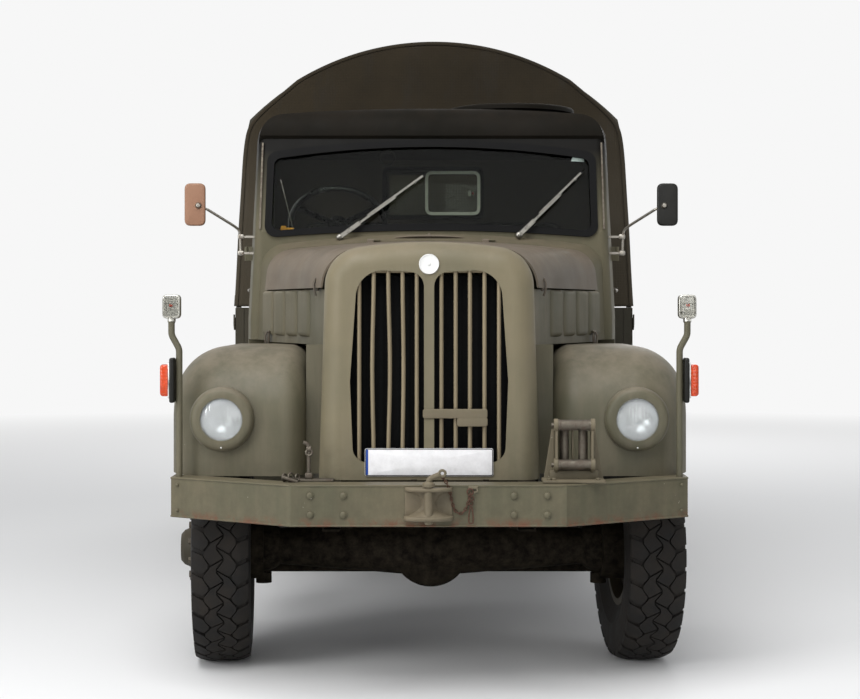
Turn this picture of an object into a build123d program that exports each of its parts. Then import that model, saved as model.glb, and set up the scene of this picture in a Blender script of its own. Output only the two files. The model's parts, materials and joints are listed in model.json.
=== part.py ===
"""Four-wheel-drive military cargo truck with a bonnet, a two-door cab and a canvas-covered load bed.

Millimetres, +Z up. The truck faces -Y, its left side is +X, and the origin is on the ground under
the middle of its overall length. A length called "..._d" is a distance behind the bumper's face.
"""
import os
from math import cos, radians, sin, sqrt, tan

from build123d import *

os.makedirs("parts", exist_ok=True)

# ---------------------------------------------------------------- driving dimensions
overall_length = 7370.0      # tow jaw's lip to the rear posts
jaw_reach = 70.0             # front tow jaw, ahead of the bumper's face
wheelbase = 4200.0
front_axle_d = 1100.0
body_half_width = 1150.0     # load bed and canvas
fender_half = 1096.0
seat_gap = 0.3               # between pieces that sit on each other
swing_gap = 6.0              # round doors, boards and lids

# wheels
tyre_radius = 509.0
tyre_width = 258.0
rim_radius = 254.0
front_track = 1888.0
rear_track = 1740.0
twin_spacing = 292.0
parked_steer = 5.0           # degrees, front of the wheels towards +X
kingpin_half = 765.0

# frame
frame_half_width = 430.0
rail_flange = 70.0
rail_wall = 8.0
rail_bottom = 700.0
rail_top = 900.0
rail_start_d = 130.0
rail_end_d = 7150.0

# bumper
bumper_bottom = 735.0
bumper_top = 900.0
bumper_flat_half = 544.0
bumper_half = 1068.0
bumper_sweep = 330.0
bumper_depth = 130.0
bumper_wall = 8.0

# front body
sheet = 8.0
nose_d = 190.0
nose_half_low = 453.0
nose_half_high = 425.0       # at nose_corner_z
nose_corner_z = 1824.0
nose_top = 1870.0
nose_bottom = rail_top + seat_gap
seam_top_d = 425.0           # the nose's rear rim leans back 14 degrees so that the bonnet can lift
seam_tilt = 14.0
panel_top_z = 1681.0
bonnet_end_d = 1294.0
bonnet_hinge_d = 1297.0
bonnet_hinge_z = 1918.0
cowl_half = 780.0            # at the bonnet's rear edge
fender_inner = 521.0
fender_d = 362.0
fender_top = 1436.0
fender_tail_z = 700.0

# cab
cowl_d = bonnet_end_d + swing_gap
screen_d = 1400.0            # foot of the windscreen
screen_top_d = 1480.0
toe_d = 1575.0               # toe board, behind the fender
cab_end_d = 2700.0
cab_wall = 35.0
cab_bottom = 1150.0
cowl_bottom = 1450.0
cab_lean = 50.0              # each side, between cab_side_break and roof_edge_z
cab_side_break = 1550.0
roof_edge_z = 2525.0
roof_crown_z = 2566.0
roof_radius = 130.0          # along the roof's sides
roof_front_radius = 140.0
pillar_radius = 45.0
roof_split_z = 2412.0
screen_foot_z = 1962.0
door_start_d = 1604.0
door_end_d = 2480.0
door_sill_z = 1188.0
door_rear_gap = 12.0
glass = 6.0

# load bed
bed_start_d = 3150.0
bed_end_d = overall_length - jaw_reach
sill_height = 160.0
bearer_height = 80.0
floor_thickness = 40.0
board_thickness = 30.0
board_top = 1604.0
canvas_bottom = 1612.0
canvas_shoulder_z = 2690.0
canvas_shoulder_in = 61.0    # how far the canvas shoulders stand in from its hem
canvas_top = 3139.0
canvas = 8.0

front_y = -overall_length / 2 + jaw_reach      # y of the bumper's face


def behind(d):
    """y of a place d behind the bumper's face."""
    return front_y + d


def box(x0, x1, d0, d1, z0, z1):
    """A block between two corners, its y values given as distances behind the bumper's face."""
    centre = ((x0 + x1) / 2, behind((d0 + d1) / 2), (z0 + z1) / 2)
    return Pos(*centre) * Box(abs(x1 - x0), abs(d1 - d0), abs(z1 - z0))


def save(shape, name):
    """Labels a finished piece and writes it as parts/name.step."""
    shape.label = name
    export_step(shape, f"parts/{name}.step")


def rearwards(face, length):
    """Extrudes an upright cross-section towards the truck's tail."""
    return extrude(face, -length)


def group(*shapes):
    """Separate solids as one piece."""
    return Compound(children=[solid for shape in shapes for solid in shape.solids()])


def pair(shape):
    """A piece and its mirror image across the truck's middle, as one compound."""
    return group(shape, mirror(shape, about=Plane.YZ))


axle_z = tyre_radius
rear_axle_d = front_axle_d + wheelbase
sill_top = rail_top + seat_gap + sill_height
bearer_top = sill_top + bearer_height
floor_top = bearer_top + floor_thickness
canvas_shoulder_half = body_half_width - canvas_shoulder_in

# ---------------------------------------------------------------- frame
cross_tube_radius = 45.0
cross_tubes_d = (420.0, 2700.0, 3800.0, 4700.0, 6050.0)
rail_web_z = (rail_bottom + rail_top) / 2
rail_height = rail_top - rail_bottom
horn_drop = 2.0
tail_beam_reach = 12.0
rear_jaw_reach = 120.0
rear_jaw_half = 90.0
rear_jaw_height = 150.0
rear_jaw_slot = 90.0
with BuildPart() as rail:
    with BuildSketch(Plane.XZ.offset(-behind(rail_start_d))):
        with Locations((frame_half_width - rail_flange / 2, rail_web_z)):
            Rectangle(rail_flange, rail_height)
        with Locations((frame_half_width - rail_wall - rail_flange / 2, rail_web_z)):
            Rectangle(rail_flange, rail_height - 2 * rail_wall, mode=Mode.SUBTRACT)
    extrude(amount=-(rail_end_d - rail_start_d))
horn = box(frame_half_width - rail_flange, frame_half_width, bumper_wall, rail_start_d,
           bumper_bottom + rail_wall + horn_drop, bumper_top - rail_wall - horn_drop)
frame_rail = rail.part + horn
cross_half = frame_half_width - rail_wall - seat_gap
cross_members = [Pos(0, behind(d), rail_web_z) * Rot(0, 90, 0) * Cylinder(
    cross_tube_radius, 2 * cross_half) for d in cross_tubes_d]
tail_beam = box(-cross_half, cross_half, rail_end_d - 50, rail_end_d + tail_beam_reach,
                rail_bottom + rail_wall + seat_gap, rail_top - rail_wall - seat_gap)
rear_jaw = box(-rear_jaw_half, rear_jaw_half, rail_end_d, rail_end_d + rear_jaw_reach,
               rail_web_z - rear_jaw_height / 2, rail_web_z + rear_jaw_height / 2)
rear_jaw -= box(-rear_jaw_half, rear_jaw_half, rail_end_d + 30, rail_end_d + rear_jaw_reach,
                rail_web_z - rear_jaw_slot / 2, rail_web_z + rear_jaw_slot / 2)
rear_jaw_pin = Pos(0, behind(rail_end_d + 75), rail_web_z) * Cylinder(19, rear_jaw_height + 20)
save(tail_beam + rear_jaw + rear_jaw_pin, "rear_tow_jaw")

# ---------------------------------------------------------------- bumper and what it carries


def bumper_plan(inset, depth):
    """Plan outline of the swept bumper between its face, set back by inset, and depth."""
    half_end = bumper_half - inset
    return [(-half_end, behind(bumper_sweep + inset)), (-bumper_flat_half, behind(inset)),
            (bumper_flat_half, behind(inset)), (half_end, behind(bumper_sweep + inset)),
            (half_end, behind(bumper_sweep + depth)), (bumper_flat_half, behind(depth)),
            (-bumper_flat_half, behind(depth)), (-half_end, behind(bumper_sweep + depth))]


with BuildPart() as bumper:
    with BuildSketch(Plane.XY.offset(bumper_bottom)):
        Polygon(*bumper_plan(0, bumper_depth), align=None)
    extrude(amount=bumper_top - bumper_bottom)
    with BuildSketch(Plane.XY.offset(bumper_bottom + bumper_wall)):
        Polygon(*bumper_plan(bumper_wall, bumper_depth + 1), align=None)
    extrude(amount=bumper_top - bumper_bottom - 2 * bumper_wall, mode=Mode.SUBTRACT)
save(bumper.part, "front_bumper")

jaw_half = 95.0
jaw_low, jaw_high = 765.0, 892.0
jaw_lip = 14.0
jaw_pin_radius = 19.0
jaw_pin_reach = 42.0
with BuildPart() as jaw:
    with BuildSketch(Plane.XY.offset(jaw_low)):
        with BuildLine():
            Polyline((-jaw_half, behind(0)), (-jaw_half, behind(-20)))
            ThreePointArc((-jaw_half, behind(-20)), (0, behind(-jaw_reach)), (jaw_half, behind(-20)))
            Polyline((jaw_half, behind(-20)), (jaw_half, behind(0)), (-jaw_half, behind(0)))
        make_face()
    extrude(amount=jaw_high - jaw_low)
    with BuildSketch(Plane.XY.offset(jaw_low + jaw_lip)):
        with Locations((0, behind(-jaw_reach / 2 - 10))):
            Rectangle(3 * jaw_half, jaw_reach)
    extrude(amount=jaw_high - jaw_low - 2 * jaw_lip, mode=Mode.SUBTRACT)
pin_height = jaw_high - jaw_low + 30
tow_pin = Pos(0, behind(-jaw_pin_reach), jaw_low - 6 + pin_height / 2) * Cylinder(
    jaw_pin_radius, pin_height)
pin_cap = Pos(0, behind(-jaw_pin_reach), jaw_high + 12) * Cylinder(26, 24)
pin_handle = Pos(22, behind(-jaw_pin_reach), jaw_high + 34) * Rot(0, 55, 0) * Cylinder(8, 80)
tow_jaw = jaw.part + tow_pin + pin_cap + pin_handle

guide_x = 591.0
guide_half = 80.0
guide_cheek = 10.0
guide_d = 110.0
guide_base_top = 912.0
roller_radius = 23.0
upright_radius = 19.0
guide_rollers_z = (958.0, 1122.0)
upright_offset = 38.0
guide = box(guide_x - guide_half - 8, guide_x + guide_half, guide_d - 60, guide_d + 70,
            bumper_top + seat_gap, guide_base_top)
for side in (-1, 1):
    x_in = guide_x + side * (guide_half - guide_cheek)
    x_out = guide_x + side * guide_half
    guide += box(x_in, x_out, guide_d - 24, guide_d + 60, guide_base_top,
                 guide_rollers_z[1] + roller_radius)
    guide += Pos(guide_x + side * upright_offset, behind(guide_d + 46),
                 (guide_base_top + guide_rollers_z[1] + roller_radius) / 2) * Cylinder(
        upright_radius, guide_rollers_z[1] + roller_radius - guide_base_top)
for z in guide_rollers_z:
    guide += Pos(guide_x, behind(guide_d), z) * Rot(0, 90, 0) * Cylinder(
        roller_radius, 2 * guide_half)
save(group(tow_jaw, guide), "bumper_fittings")

post_x = 1036.0
post_d = 343.0
post_radius = 13.5
post_bend_x = 32.0
post_heights = (bumper_top + seat_gap, 1429.0, 1487.0, 1552.0)
lamp_width, lamp_height, lamp_depth = 75.0, 104.0, 60.0
with BuildPart() as post:
    with BuildLine():
        FilletPolyline((post_x, behind(post_d), post_heights[0]),
                       (post_x, behind(post_d), post_heights[1]),
                       (post_x + post_bend_x, behind(post_d), post_heights[2]),
                       (post_x + post_bend_x, behind(post_d), post_heights[3]), radius=50)
    with BuildSketch(Plane.XY.offset(post_heights[0])):
        with Locations((post_x, behind(post_d))):
            Circle(post_radius)
    sweep()
save(pair(post.part), "marker_posts")

side_lamp_z = 1300.0
lamp_x = post_x + post_bend_x
top_lamp = box(lamp_x - lamp_width / 2, lamp_x + lamp_width / 2, post_d - lamp_depth / 2,
               post_d + lamp_depth / 2, post_heights[3], post_heights[3] + lamp_height)
side_base = box(post_x + post_radius + seat_gap, post_x + post_radius + 22, post_d - 46,
                post_d + 16, side_lamp_z - 86, side_lamp_z + 100)
side_lens = box(post_x + post_radius + 22, post_x + post_radius + 64, post_d - 42,
                post_d + 12, side_lamp_z - 66, side_lamp_z + 66)
tail_lamp_x, tail_lamp_z = 760.0, 1015.0
tail_lamp = box(tail_lamp_x - 60, tail_lamp_x + 60, bed_end_d - 110, bed_end_d - 62,
                tail_lamp_z - 45, tail_lamp_z + 45)
signal_lamps = group(pair(top_lamp), pair(side_base + side_lens), pair(tail_lamp))

# ---------------------------------------------------------------- fenders and headlamps
fender_front_radius = 306.0
fender_rear_radius = 420.0
fender_crest_d = 1150.0
fender_edge_radius = 235.0
fender_inner_edge = 100.0
fender_bottom = bumper_top + seat_gap
arch_radius = 575.0
tail_slope = 28.3            # degrees of the tail from the vertical
headlamp_x, headlamp_z = 860.0, 1137.0
headlamp_radius = 88.0
pod_radius = 134.0
pod_reach = 45.0
pod_roll = 34.0              # radius of the pod's rolled rim
pod_depth = 70.0             # behind the fender's front face


def fender_profile(inset):
    """Side outline of a fender, as a face in the YZ plane, inset by a wall."""
    crest = fender_top - inset
    front = behind(fender_d + inset)
    front_radius = fender_front_radius - inset
    rear_radius = fender_rear_radius - inset
    rear_centre = (behind(fender_crest_d), fender_top - fender_rear_radius)
    turn = radians(tail_slope)
    tail_top = (rear_centre[0] + rear_radius * cos(turn), rear_centre[1] + rear_radius * sin(turn))
    low = fender_tail_z - inset
    tail_foot = (tail_top[0] + (tail_top[1] - low) * tan(turn), low)
    wall_turn = radians(90 + tail_slope) / 2
    mid_front = (front + front_radius * (1 - cos(radians(45))),
                 crest - front_radius * (1 - sin(radians(45))))
    mid_rear = (rear_centre[0] + rear_radius * cos(wall_turn),
                rear_centre[1] + rear_radius * sin(wall_turn))
    with BuildSketch(Plane.YZ, mode=Mode.PRIVATE) as side:
        with BuildLine():
            Line((front, fender_bottom - inset), (front, crest - front_radius))
            ThreePointArc((front, crest - front_radius), mid_front, (front + front_radius, crest))
            Line((front + front_radius, crest), (rear_centre[0], crest))
            ThreePointArc((rear_centre[0], crest), mid_rear, tail_top)
            Line(tail_top, tail_foot)
            Line(tail_foot, (tail_foot[0] - 60, low))
            Line((tail_foot[0] - 60, low), (tail_top[0] - 260, fender_bottom - inset))
            Line((tail_top[0] - 260, fender_bottom - inset), (front, fender_bottom - inset))
        make_face()
    return side.sketch


def fender_block(inset):
    """The fender's outer form, or its hollow when inset by the wall."""
    block = extrude(fender_profile(inset), fender_half - fender_inner - 2 * inset)
    block = Pos(fender_inner + inset, 0, 0) * block
    for side, radius in ((-1, fender_edge_radius - inset), (0, fender_inner_edge - inset)):
        edges = block.edges().group_by(Axis.X)[side]
        block = fillet(edges.filter_by(lambda e: e.center().Z > fender_bottom + 1), radius)
    return block


fender = fender_block(0) - fender_block(sheet)
fender -= Pos(fender_half, behind(front_axle_d), axle_z) * Rot(0, 90, 0) * Cylinder(
    arch_radius, 2 * fender_edge_radius)
with BuildPart() as pod:
    with BuildSketch(Plane.XZ.offset(-behind(fender_d - pod_reach))):
        with Locations((headlamp_x, headlamp_z)):
            Circle(pod_radius)
    extrude(amount=-(pod_reach + pod_depth))
    fillet(pod.edges().group_by(Axis.Y)[0], pod_roll)
fender += pod.part - fender_block(sheet)
fender -= Pos(headlamp_x, behind(fender_d), headlamp_z) * Rot(90, 0, 0) * Cylinder(
    headlamp_radius + seat_gap, 200)
save(pair(fender), "fenders")
lens = Pos(headlamp_x, behind(fender_d - 5), headlamp_z) * Rot(90, 0, 0) * Cylinder(
    headlamp_radius, 50)
save(group(pair(lens), signal_lamps), "lamps")

# ---------------------------------------------------------------- nose, grille and bonnet
seam_slope = tan(radians(seam_tilt))
nose_foot_d = seam_top_d + (nose_top - panel_top_z) * seam_slope
bonnet_gap = 6.5
nose_front_radius = 90.0


def hood_face(d, half_low, low, half_high, corner_z, crown_z, radius):
    """Front-view outline of the nose or bonnet as a face at d, with a crowned top."""
    with BuildSketch(Plane.XZ.offset(-behind(d)), mode=Mode.PRIVATE) as outline:
        with BuildLine():
            Polyline((-half_high, corner_z), (-half_low, low), (half_low, low),
                     (half_high, corner_z))
            ThreePointArc((half_high, corner_z), (0, crown_z), (-half_high, corner_z))
        make_face()
        fillet(outline.vertices().group_by(Axis.Y)[-1], radius)
    return outline.sketch


def nose_block(inset, low, end_d):
    """The nose's outer form, or its hollow when inset by the wall."""
    face = hood_face(nose_d + inset, nose_half_low - inset, low, nose_half_high - inset,
                     nose_corner_z - inset, nose_top - inset, 160 - inset)
    block = rearwards(face, end_d - nose_d - inset)
    front = block.edges().group_by(Axis.Y)[0].filter_by(lambda e: e.center().Z > low + 1)
    return fillet(front, nose_front_radius - inset)


def behind_seam(gap):
    """Everything behind the nose's leaning rear rim, from gap behind it."""
    start = seam_top_d + gap / cos(radians(seam_tilt))
    with BuildSketch(Plane.YZ, mode=Mode.PRIVATE) as side:
        Polygon((behind(start - 30 * seam_slope), nose_top + 30),
                (behind(start + (nose_top - panel_top_z) * seam_slope), panel_top_z),
                (behind(start + (nose_top - panel_top_z) * seam_slope), 700.0),
                (behind(start + 1200), 700.0), (behind(start + 1200), nose_top + 200),
                (behind(start - 30 * seam_slope), nose_top + 200), align=None)
    return extrude(side.sketch, 1000, both=True)


def nose_hole():
    """One side of the grille opening."""
    with BuildSketch(Plane.XZ.offset(-behind(nose_d - 5)), mode=Mode.PRIVATE) as lobe:
        Polygon((20.5, 972), (308, 972), (321, 1300), (290, 1756), (20.5, 1742), align=None)
        fillet([v for v in lobe.vertices() if v.X > 200 and v.Y > 1600], 110)
        fillet([v for v in lobe.vertices() if v.X < 30 and v.Y > 1600], 60)
        fillet([v for v in lobe.vertices() if v.X > 200 and v.Y < 1000], 60)
    return rearwards(lobe.sketch, sheet + 10)


nose = nose_block(0, nose_bottom, 600) - nose_block(sheet, nose_bottom - 1, 601)
nose -= behind_seam(0)
hole = nose_hole()
nose = nose - hole - mirror(hole, about=Plane.YZ)
save(nose, "nose_shell")

bar_half = 8.5
bar_x = (50.0, 108.0, 166.0, 225.0, 284.0)
bars_start, bars_end = nose_d + sheet + seat_gap, nose_d + sheet + 22
grille = box(-300, 300, bars_end - 8, bars_end, 945, 965)
grille += box(-290, 290, bars_end - 8, bars_end, 1740, 1757)
for x in bar_x:
    for side in (-1, 1):
        grille += box(side * x - bar_half, side * x + bar_half, bars_start, bars_end, 945, 1757)
save(grille, "grille_bars")
save(box(-360, 360, 262, 350, nose_bottom, 1730), "radiator")

badge = Pos(0, behind(nose_d - 4 - seat_gap), 1776) * Rot(90, 0, 0) * Cylinder(40, 8)
plate = box(-260, 260, nose_d - 8, nose_d - seat_gap, 917, 1030)
casting = box(-26, 237, nose_d - 8, nose_d - seat_gap, 1149, 1190)
casting += box(113, 237, nose_d - 8, nose_d - seat_gap, 1118, 1149)
save(group(plate, badge, casting), "front_plates")


def bonnet_block(inset):
    """The bonnet's outer form, or its hollow when inset by the wall."""
    low = panel_top_z + swing_gap - 3 - inset
    front = hood_face(400, nose_half_high + 6 - inset, low, nose_half_high - 4 - inset,
                      nose_corner_z + 2 - inset, nose_top + 2 - inset, 158 - inset)
    rear = hood_face(bonnet_end_d, cowl_half - inset, low, cowl_half - 18 - inset, 1862 - inset,
                     bonnet_hinge_z - 4 - inset, 125 - inset)
    return loft([front, rear])


bonnet_hinges_x = (-300.0, 240.0)
hinge_leaf_width = 30.0
hinge_eye_radius = 6.0


def bonnet_leaf(x, d0, d1):
    """One leaf of a bonnet hinge, from x on, with its eye on the axis."""
    leaf = box(x, x + hinge_leaf_width, d0, d1, bonnet_hinge_z - 16, bonnet_hinge_z + 1)
    eye = Pos(x + hinge_leaf_width / 2, behind(bonnet_hinge_d), bonnet_hinge_z)
    return leaf + eye * Rot(0, 90, 0) * Cylinder(hinge_eye_radius, hinge_leaf_width)


bonnet = (bonnet_block(0) - bonnet_block(sheet)) & behind_seam(bonnet_gap)
for x in bonnet_hinges_x:
    bonnet += bonnet_leaf(x, bonnet_hinge_d - 24, bonnet_hinge_d)
save(bonnet, "bonnet")

# side panels under the bonnet, each a flat sheet from the nose to the cowl
panel_low_z = fender_top + 6
panel_start_d = nose_foot_d + seat_gap
panel_end_d = cowl_d - seat_gap
panel_start_x = nose_half_high + 4


def side_sheet(low, high, wall):
    """Plan strip of a side panel, extruded upright."""
    with BuildSketch(Plane.XY.offset(low), mode=Mode.PRIVATE) as strip:
        Polygon((panel_start_x, behind(panel_start_d)), (cowl_half, behind(panel_end_d)),
                (cowl_half - wall, behind(panel_end_d)),
                (panel_start_x - wall, behind(panel_start_d)), align=None)
    return extrude(strip.sketch, high - low)


panel = side_sheet(panel_low_z, panel_top_z - 3, sheet)
apron_gap = 3.0
apron_start_d = nose_foot_d + apron_gap
panel += box(frame_half_width - 30, fender_inner - seat_gap, apron_start_d, apron_start_d + sheet,
             nose_bottom, panel_low_z + apron_gap)
save(pair(panel), "side_panels")

# ---------------------------------------------------------------- cab
# plan_stations: distance behind the bumper, outer half-width below the waist
plan_stations = ((1390.0, 856.0), (door_start_d, 893.0), (cab_end_d + 10, 950.0))


def cab_loft(inset):
    """The cab's cross-sections along its length, inset by the wall."""
    blocks = []
    for (d0, half0), (d1, half1) in zip(plan_stations, plan_stations[1:]):
        faces = []
        for d, half in ((d0, half0 - inset), (d1, half1 - inset)):
            with BuildSketch(Plane.XZ.offset(-behind(d)), mode=Mode.PRIVATE) as section:
                with BuildLine():
                    Polyline((-half + cab_lean, roof_edge_z - inset), (-half, cab_side_break),
                             (-half, cab_bottom - 50), (half, cab_bottom - 50),
                             (half, cab_side_break), (half - cab_lean, roof_edge_z - inset))
                    ThreePointArc((half - cab_lean, roof_edge_z - inset),
                                  (0, roof_crown_z - inset),
                                  (-half + cab_lean, roof_edge_z - inset))
                make_face()
                fillet(section.vertices().group_by(Axis.Y)[-1], roof_radius - inset)
            faces.append(section.sketch)
        blocks.append(loft(faces, ruled=True))
    return blocks[0] + blocks[1]


screen_half = 793.0
roof_brow = 14.0             # how far the roof stands out over the windscreen
roof_clear = 5.0             # the side outline stays this much above the crown


def cab_side_profile(inset):
    """The cab's side outline, inset by the wall, extruded across the cab."""
    with BuildSketch(Plane.YZ, mode=Mode.PRIVATE) as side:
        Polygon((behind(screen_d + inset), cowl_bottom + inset),
                (behind(screen_d + inset), screen_foot_z),
                (behind(screen_top_d + inset), roof_split_z),
                (behind(screen_top_d - roof_brow + inset), roof_split_z + roof_brow),
                (behind(screen_top_d - roof_brow + inset), roof_crown_z + roof_clear - inset),
                (behind(cab_end_d - inset), roof_crown_z + roof_clear - inset),
                (behind(cab_end_d - inset), cab_bottom + inset),
                (behind(toe_d + inset), cab_bottom + inset),
                (behind(toe_d + inset), cowl_bottom + inset), align=None)
        fillet(side.vertices().group_by(Axis.Y)[-1], roof_front_radius - inset)
    return extrude(side.sketch, 1200, both=True)


cab_outer = cab_loft(0) & cab_side_profile(0)
pillar_edges = cab_outer.edges().filter_by(
    lambda e: cowl_bottom < e.center().Z < roof_split_z and e.center().Y < behind(screen_top_d)
    and abs(e.center().X) > screen_half)
cab_outer = fillet(pillar_edges, pillar_radius)
cab_inner = cab_loft(cab_wall) & cab_side_profile(cab_wall)
cab_shell = cab_outer - cab_inner

screen_rise = sqrt((screen_top_d - screen_d) ** 2 + (roof_split_z - screen_foot_z) ** 2)
screen_normal = (0, -(roof_split_z - screen_foot_z) / screen_rise,
                 (screen_top_d - screen_d) / screen_rise)
screen_middle_z = (screen_foot_z + roof_split_z) / 2
screen_plane = Plane((0, behind((screen_d + screen_top_d) / 2), screen_middle_z),
                     x_dir=(1, 0, 0), z_dir=screen_normal)


def screen_face(inset, offset):
    """The windscreen's outline, inset, on its leaning plane moved out by offset."""
    half = screen_half - inset
    low, high = -224.0 + inset, 219.0 - inset
    with BuildSketch(screen_plane.offset(offset), mode=Mode.PRIVATE) as outline:
        with BuildLine():
            ThreePointArc((-half, low - 36), (0, low), (half, low - 36))
            Line((half, low - 36), (half - 8, high - 60))
            ThreePointArc((half - 8, high - 60), (0, high), (-half + 8, high - 60))
            Line((-half + 8, high - 60), (-half, low - 36))
        make_face()
        fillet(outline.vertices(), 55 - inset / 2)
    return outline.sketch


screen_hole = extrude(screen_face(8, -120), 200)
rear_half, rear_low, rear_high = 265.0, 2086.0, 2353.0
rear_window = box(-rear_half, rear_half, cab_end_d - 200, cab_end_d + 100, rear_low, rear_high)
hatch_x, hatch_d = 405.0, 2130.0
hatch_hole_radius = 285.0
hatch_hole = Pos(hatch_x, behind(hatch_d), roof_crown_z) * Cylinder(hatch_hole_radius, 400)
door_hole = box(700, 1100, door_start_d, door_end_d, door_sill_z, roof_split_z)
door_hole += mirror(door_hole, about=Plane.YZ)
cab_open = cab_shell - screen_hole - rear_window - hatch_hole - door_hole

# scuttle between the bonnet and the windscreen
scuttle_out = loft([hood_face(cowl_d, cowl_half, cowl_bottom, cowl_half - 18, 1864,
                              bonnet_hinge_z - 2, 125),
                    hood_face(screen_d + 2, 826, cowl_bottom, 810, 1890, 1952, 125)])
scuttle_in = loft([hood_face(cowl_d - 1, cowl_half - sheet, cowl_bottom - 1,
                             cowl_half - 18 - sheet, 1864 - sheet, bonnet_hinge_z - 2 - sheet,
                             125 - sheet),
                   hood_face(screen_d + 1, 826 - sheet, cowl_bottom - 1, 810 - sheet,
                             1890 - sheet, 1952 - sheet, 125 - sheet)])
scuttle = scuttle_out - scuttle_in - cab_outer

coaming_top = roof_crown_z + 26
coaming_low = roof_crown_z - 68.0
coaming = Pos(hatch_x, behind(hatch_d), (coaming_low + coaming_top) / 2) * Cylinder(
    308, coaming_top - coaming_low)
coaming -= hatch_hole
coaming -= cab_outer

rubber_ring = extrude(screen_face(0, 1), 9) - extrude(screen_face(33, 0), 20)
rear_rubber = box(-rear_half - 3, rear_half + 3, cab_end_d + seat_gap, cab_end_d + 10,
                  rear_low - 3, rear_high + 3)
rear_rubber -= box(-rear_half + 24, rear_half - 24, cab_end_d - 5, cab_end_d + 15,
                   rear_low + 22, rear_high - 20)
save(group(rubber_ring, rear_rubber), "window_rubbers")
screen_glass = extrude(screen_face(9, -18), glass)
rear_glass = box(-rear_half + seat_gap, rear_half - seat_gap, cab_end_d - 20,
                 cab_end_d - 20 + glass, rear_low + seat_gap, rear_high - seat_gap)
save(group(screen_glass, rear_glass), "fixed_glass")

# doors; each hangs on two hinges in front of its leading edge
door_hinge_x, door_hinge_d = 904.0, door_start_d + swing_gap / 2
door_hinges_z = (1290.0, 1830.0)
leaf_height, leaf_radius = 34.0, 8.5


def hinge_leaf(z, d0, d1):
    """One leaf of a door hinge: its strap on the skin and its eye on the axis."""
    leaf = box(868, door_hinge_x, d0, d1, z, z + leaf_height)
    eye = Pos(door_hinge_x, behind(door_hinge_d), z + leaf_height / 2)
    return leaf + eye * Cylinder(leaf_radius, leaf_height)


door_top_z = roof_split_z - swing_gap
door_zone = box(700, 1100, door_start_d + swing_gap, door_end_d - door_rear_gap,
                door_sill_z + swing_gap, door_top_z)
window_low, window_high = 1905.0, 2345.0
window_hole = box(600, 1200, door_start_d + 70, door_end_d - 80, window_low, window_high)
window_hole = fillet(window_hole.edges().filter_by(Axis.X), 45)
door_left = (cab_shell & door_zone) - window_hole
pane_zone = box(600, 1200, door_start_d + 60, door_end_d - 70, window_low - 10, window_high + 10)
pane_layer = cab_loft(14) - cab_loft(14 + glass)
door_pane = pane_layer & pane_zone
door_left -= pane_layer & box(600, 1200, door_start_d + 59.7, door_end_d - 69.7,
                              window_low - 10.3, window_high + 10.3)
for z in door_hinges_z:
    door_left += hinge_leaf(z + leaf_height + seat_gap, door_hinge_d, door_hinge_d + 28)
save(door_left, "door_left")
save(mirror(door_left, about=Plane.YZ), "door_right")
save(door_pane, "door_glass_left")
save(mirror(door_pane, about=Plane.YZ), "door_glass_right")

# roof hatch
lid_radius = 325.0
lid_low = coaming_top + swing_gap
hatch_lid = Pos(hatch_x, behind(hatch_d), lid_low + 13) * Cylinder(lid_radius, 26)
hatch_lid = fillet(hatch_lid.edges().group_by(Axis.Z)[-1], 12)
lid_eye_radius = 7.0
lid_hinge_d = hatch_d + lid_radius + 8
lid_hinge_z = lid_low + 8
lid_tab_half = 50.0
hatch_lid += box(hatch_x - lid_tab_half, hatch_x + lid_tab_half, hatch_d + lid_radius - 40,
                 lid_hinge_d, lid_hinge_z - 6, lid_hinge_z + lid_eye_radius)
hatch_lid += Pos(hatch_x, behind(lid_hinge_d), lid_hinge_z) * Rot(0, 90, 0) * Cylinder(
    lid_eye_radius, 2 * lid_tab_half)
save(hatch_lid, "hatch_lid")
lid_brackets = None
for side in (-1, 1):
    x0 = hatch_x + side * (lid_tab_half + seat_gap)
    x1 = x0 + side * 22
    bracket = box(x0, x1, lid_hinge_d - 6, lid_hinge_d + 6, roof_crown_z - 48, lid_hinge_z)
    bracket += Pos((x0 + x1) / 2, behind(lid_hinge_d), lid_hinge_z) * Rot(0, 90, 0) * Cylinder(
        lid_eye_radius, 22)
    lid_brackets = bracket if lid_brackets is None else lid_brackets + bracket

# cab_pieces: name, the block of the cab that it takes
far = 1300.0
front_zone = box(-far, far, 1200, door_start_d - seat_gap / 2, door_sill_z, roof_split_z - seat_gap)
rear_zone = box(-far, far, door_end_d + seat_gap / 2, 2800, door_sill_z, roof_split_z - seat_gap)
floor_zone = box(-far, far, 1200, 2800, 1000, door_sill_z - seat_gap)
roof_zone = box(-far, far, 1200, 2800, roof_split_z, 2900)
cab_front = (cab_open & front_zone) + scuttle
for z in door_hinges_z:
    leaf = hinge_leaf(z, door_hinge_d - 26, door_hinge_d)
    cab_front += leaf + mirror(leaf, about=Plane.YZ)
for x in bonnet_hinges_x:
    cab_front += bonnet_leaf(x + hinge_leaf_width + seat_gap, bonnet_hinge_d, bonnet_hinge_d + 24)
cab_pieces = (("cab_front", cab_front), ("cab_rear", cab_open & rear_zone),
              ("cab_floor", cab_open & floor_zone), ("cab_roof", (cab_open & roof_zone) + coaming + lid_brackets - cab_inner))
for name, piece in cab_pieces:
    save(piece, name)


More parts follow.
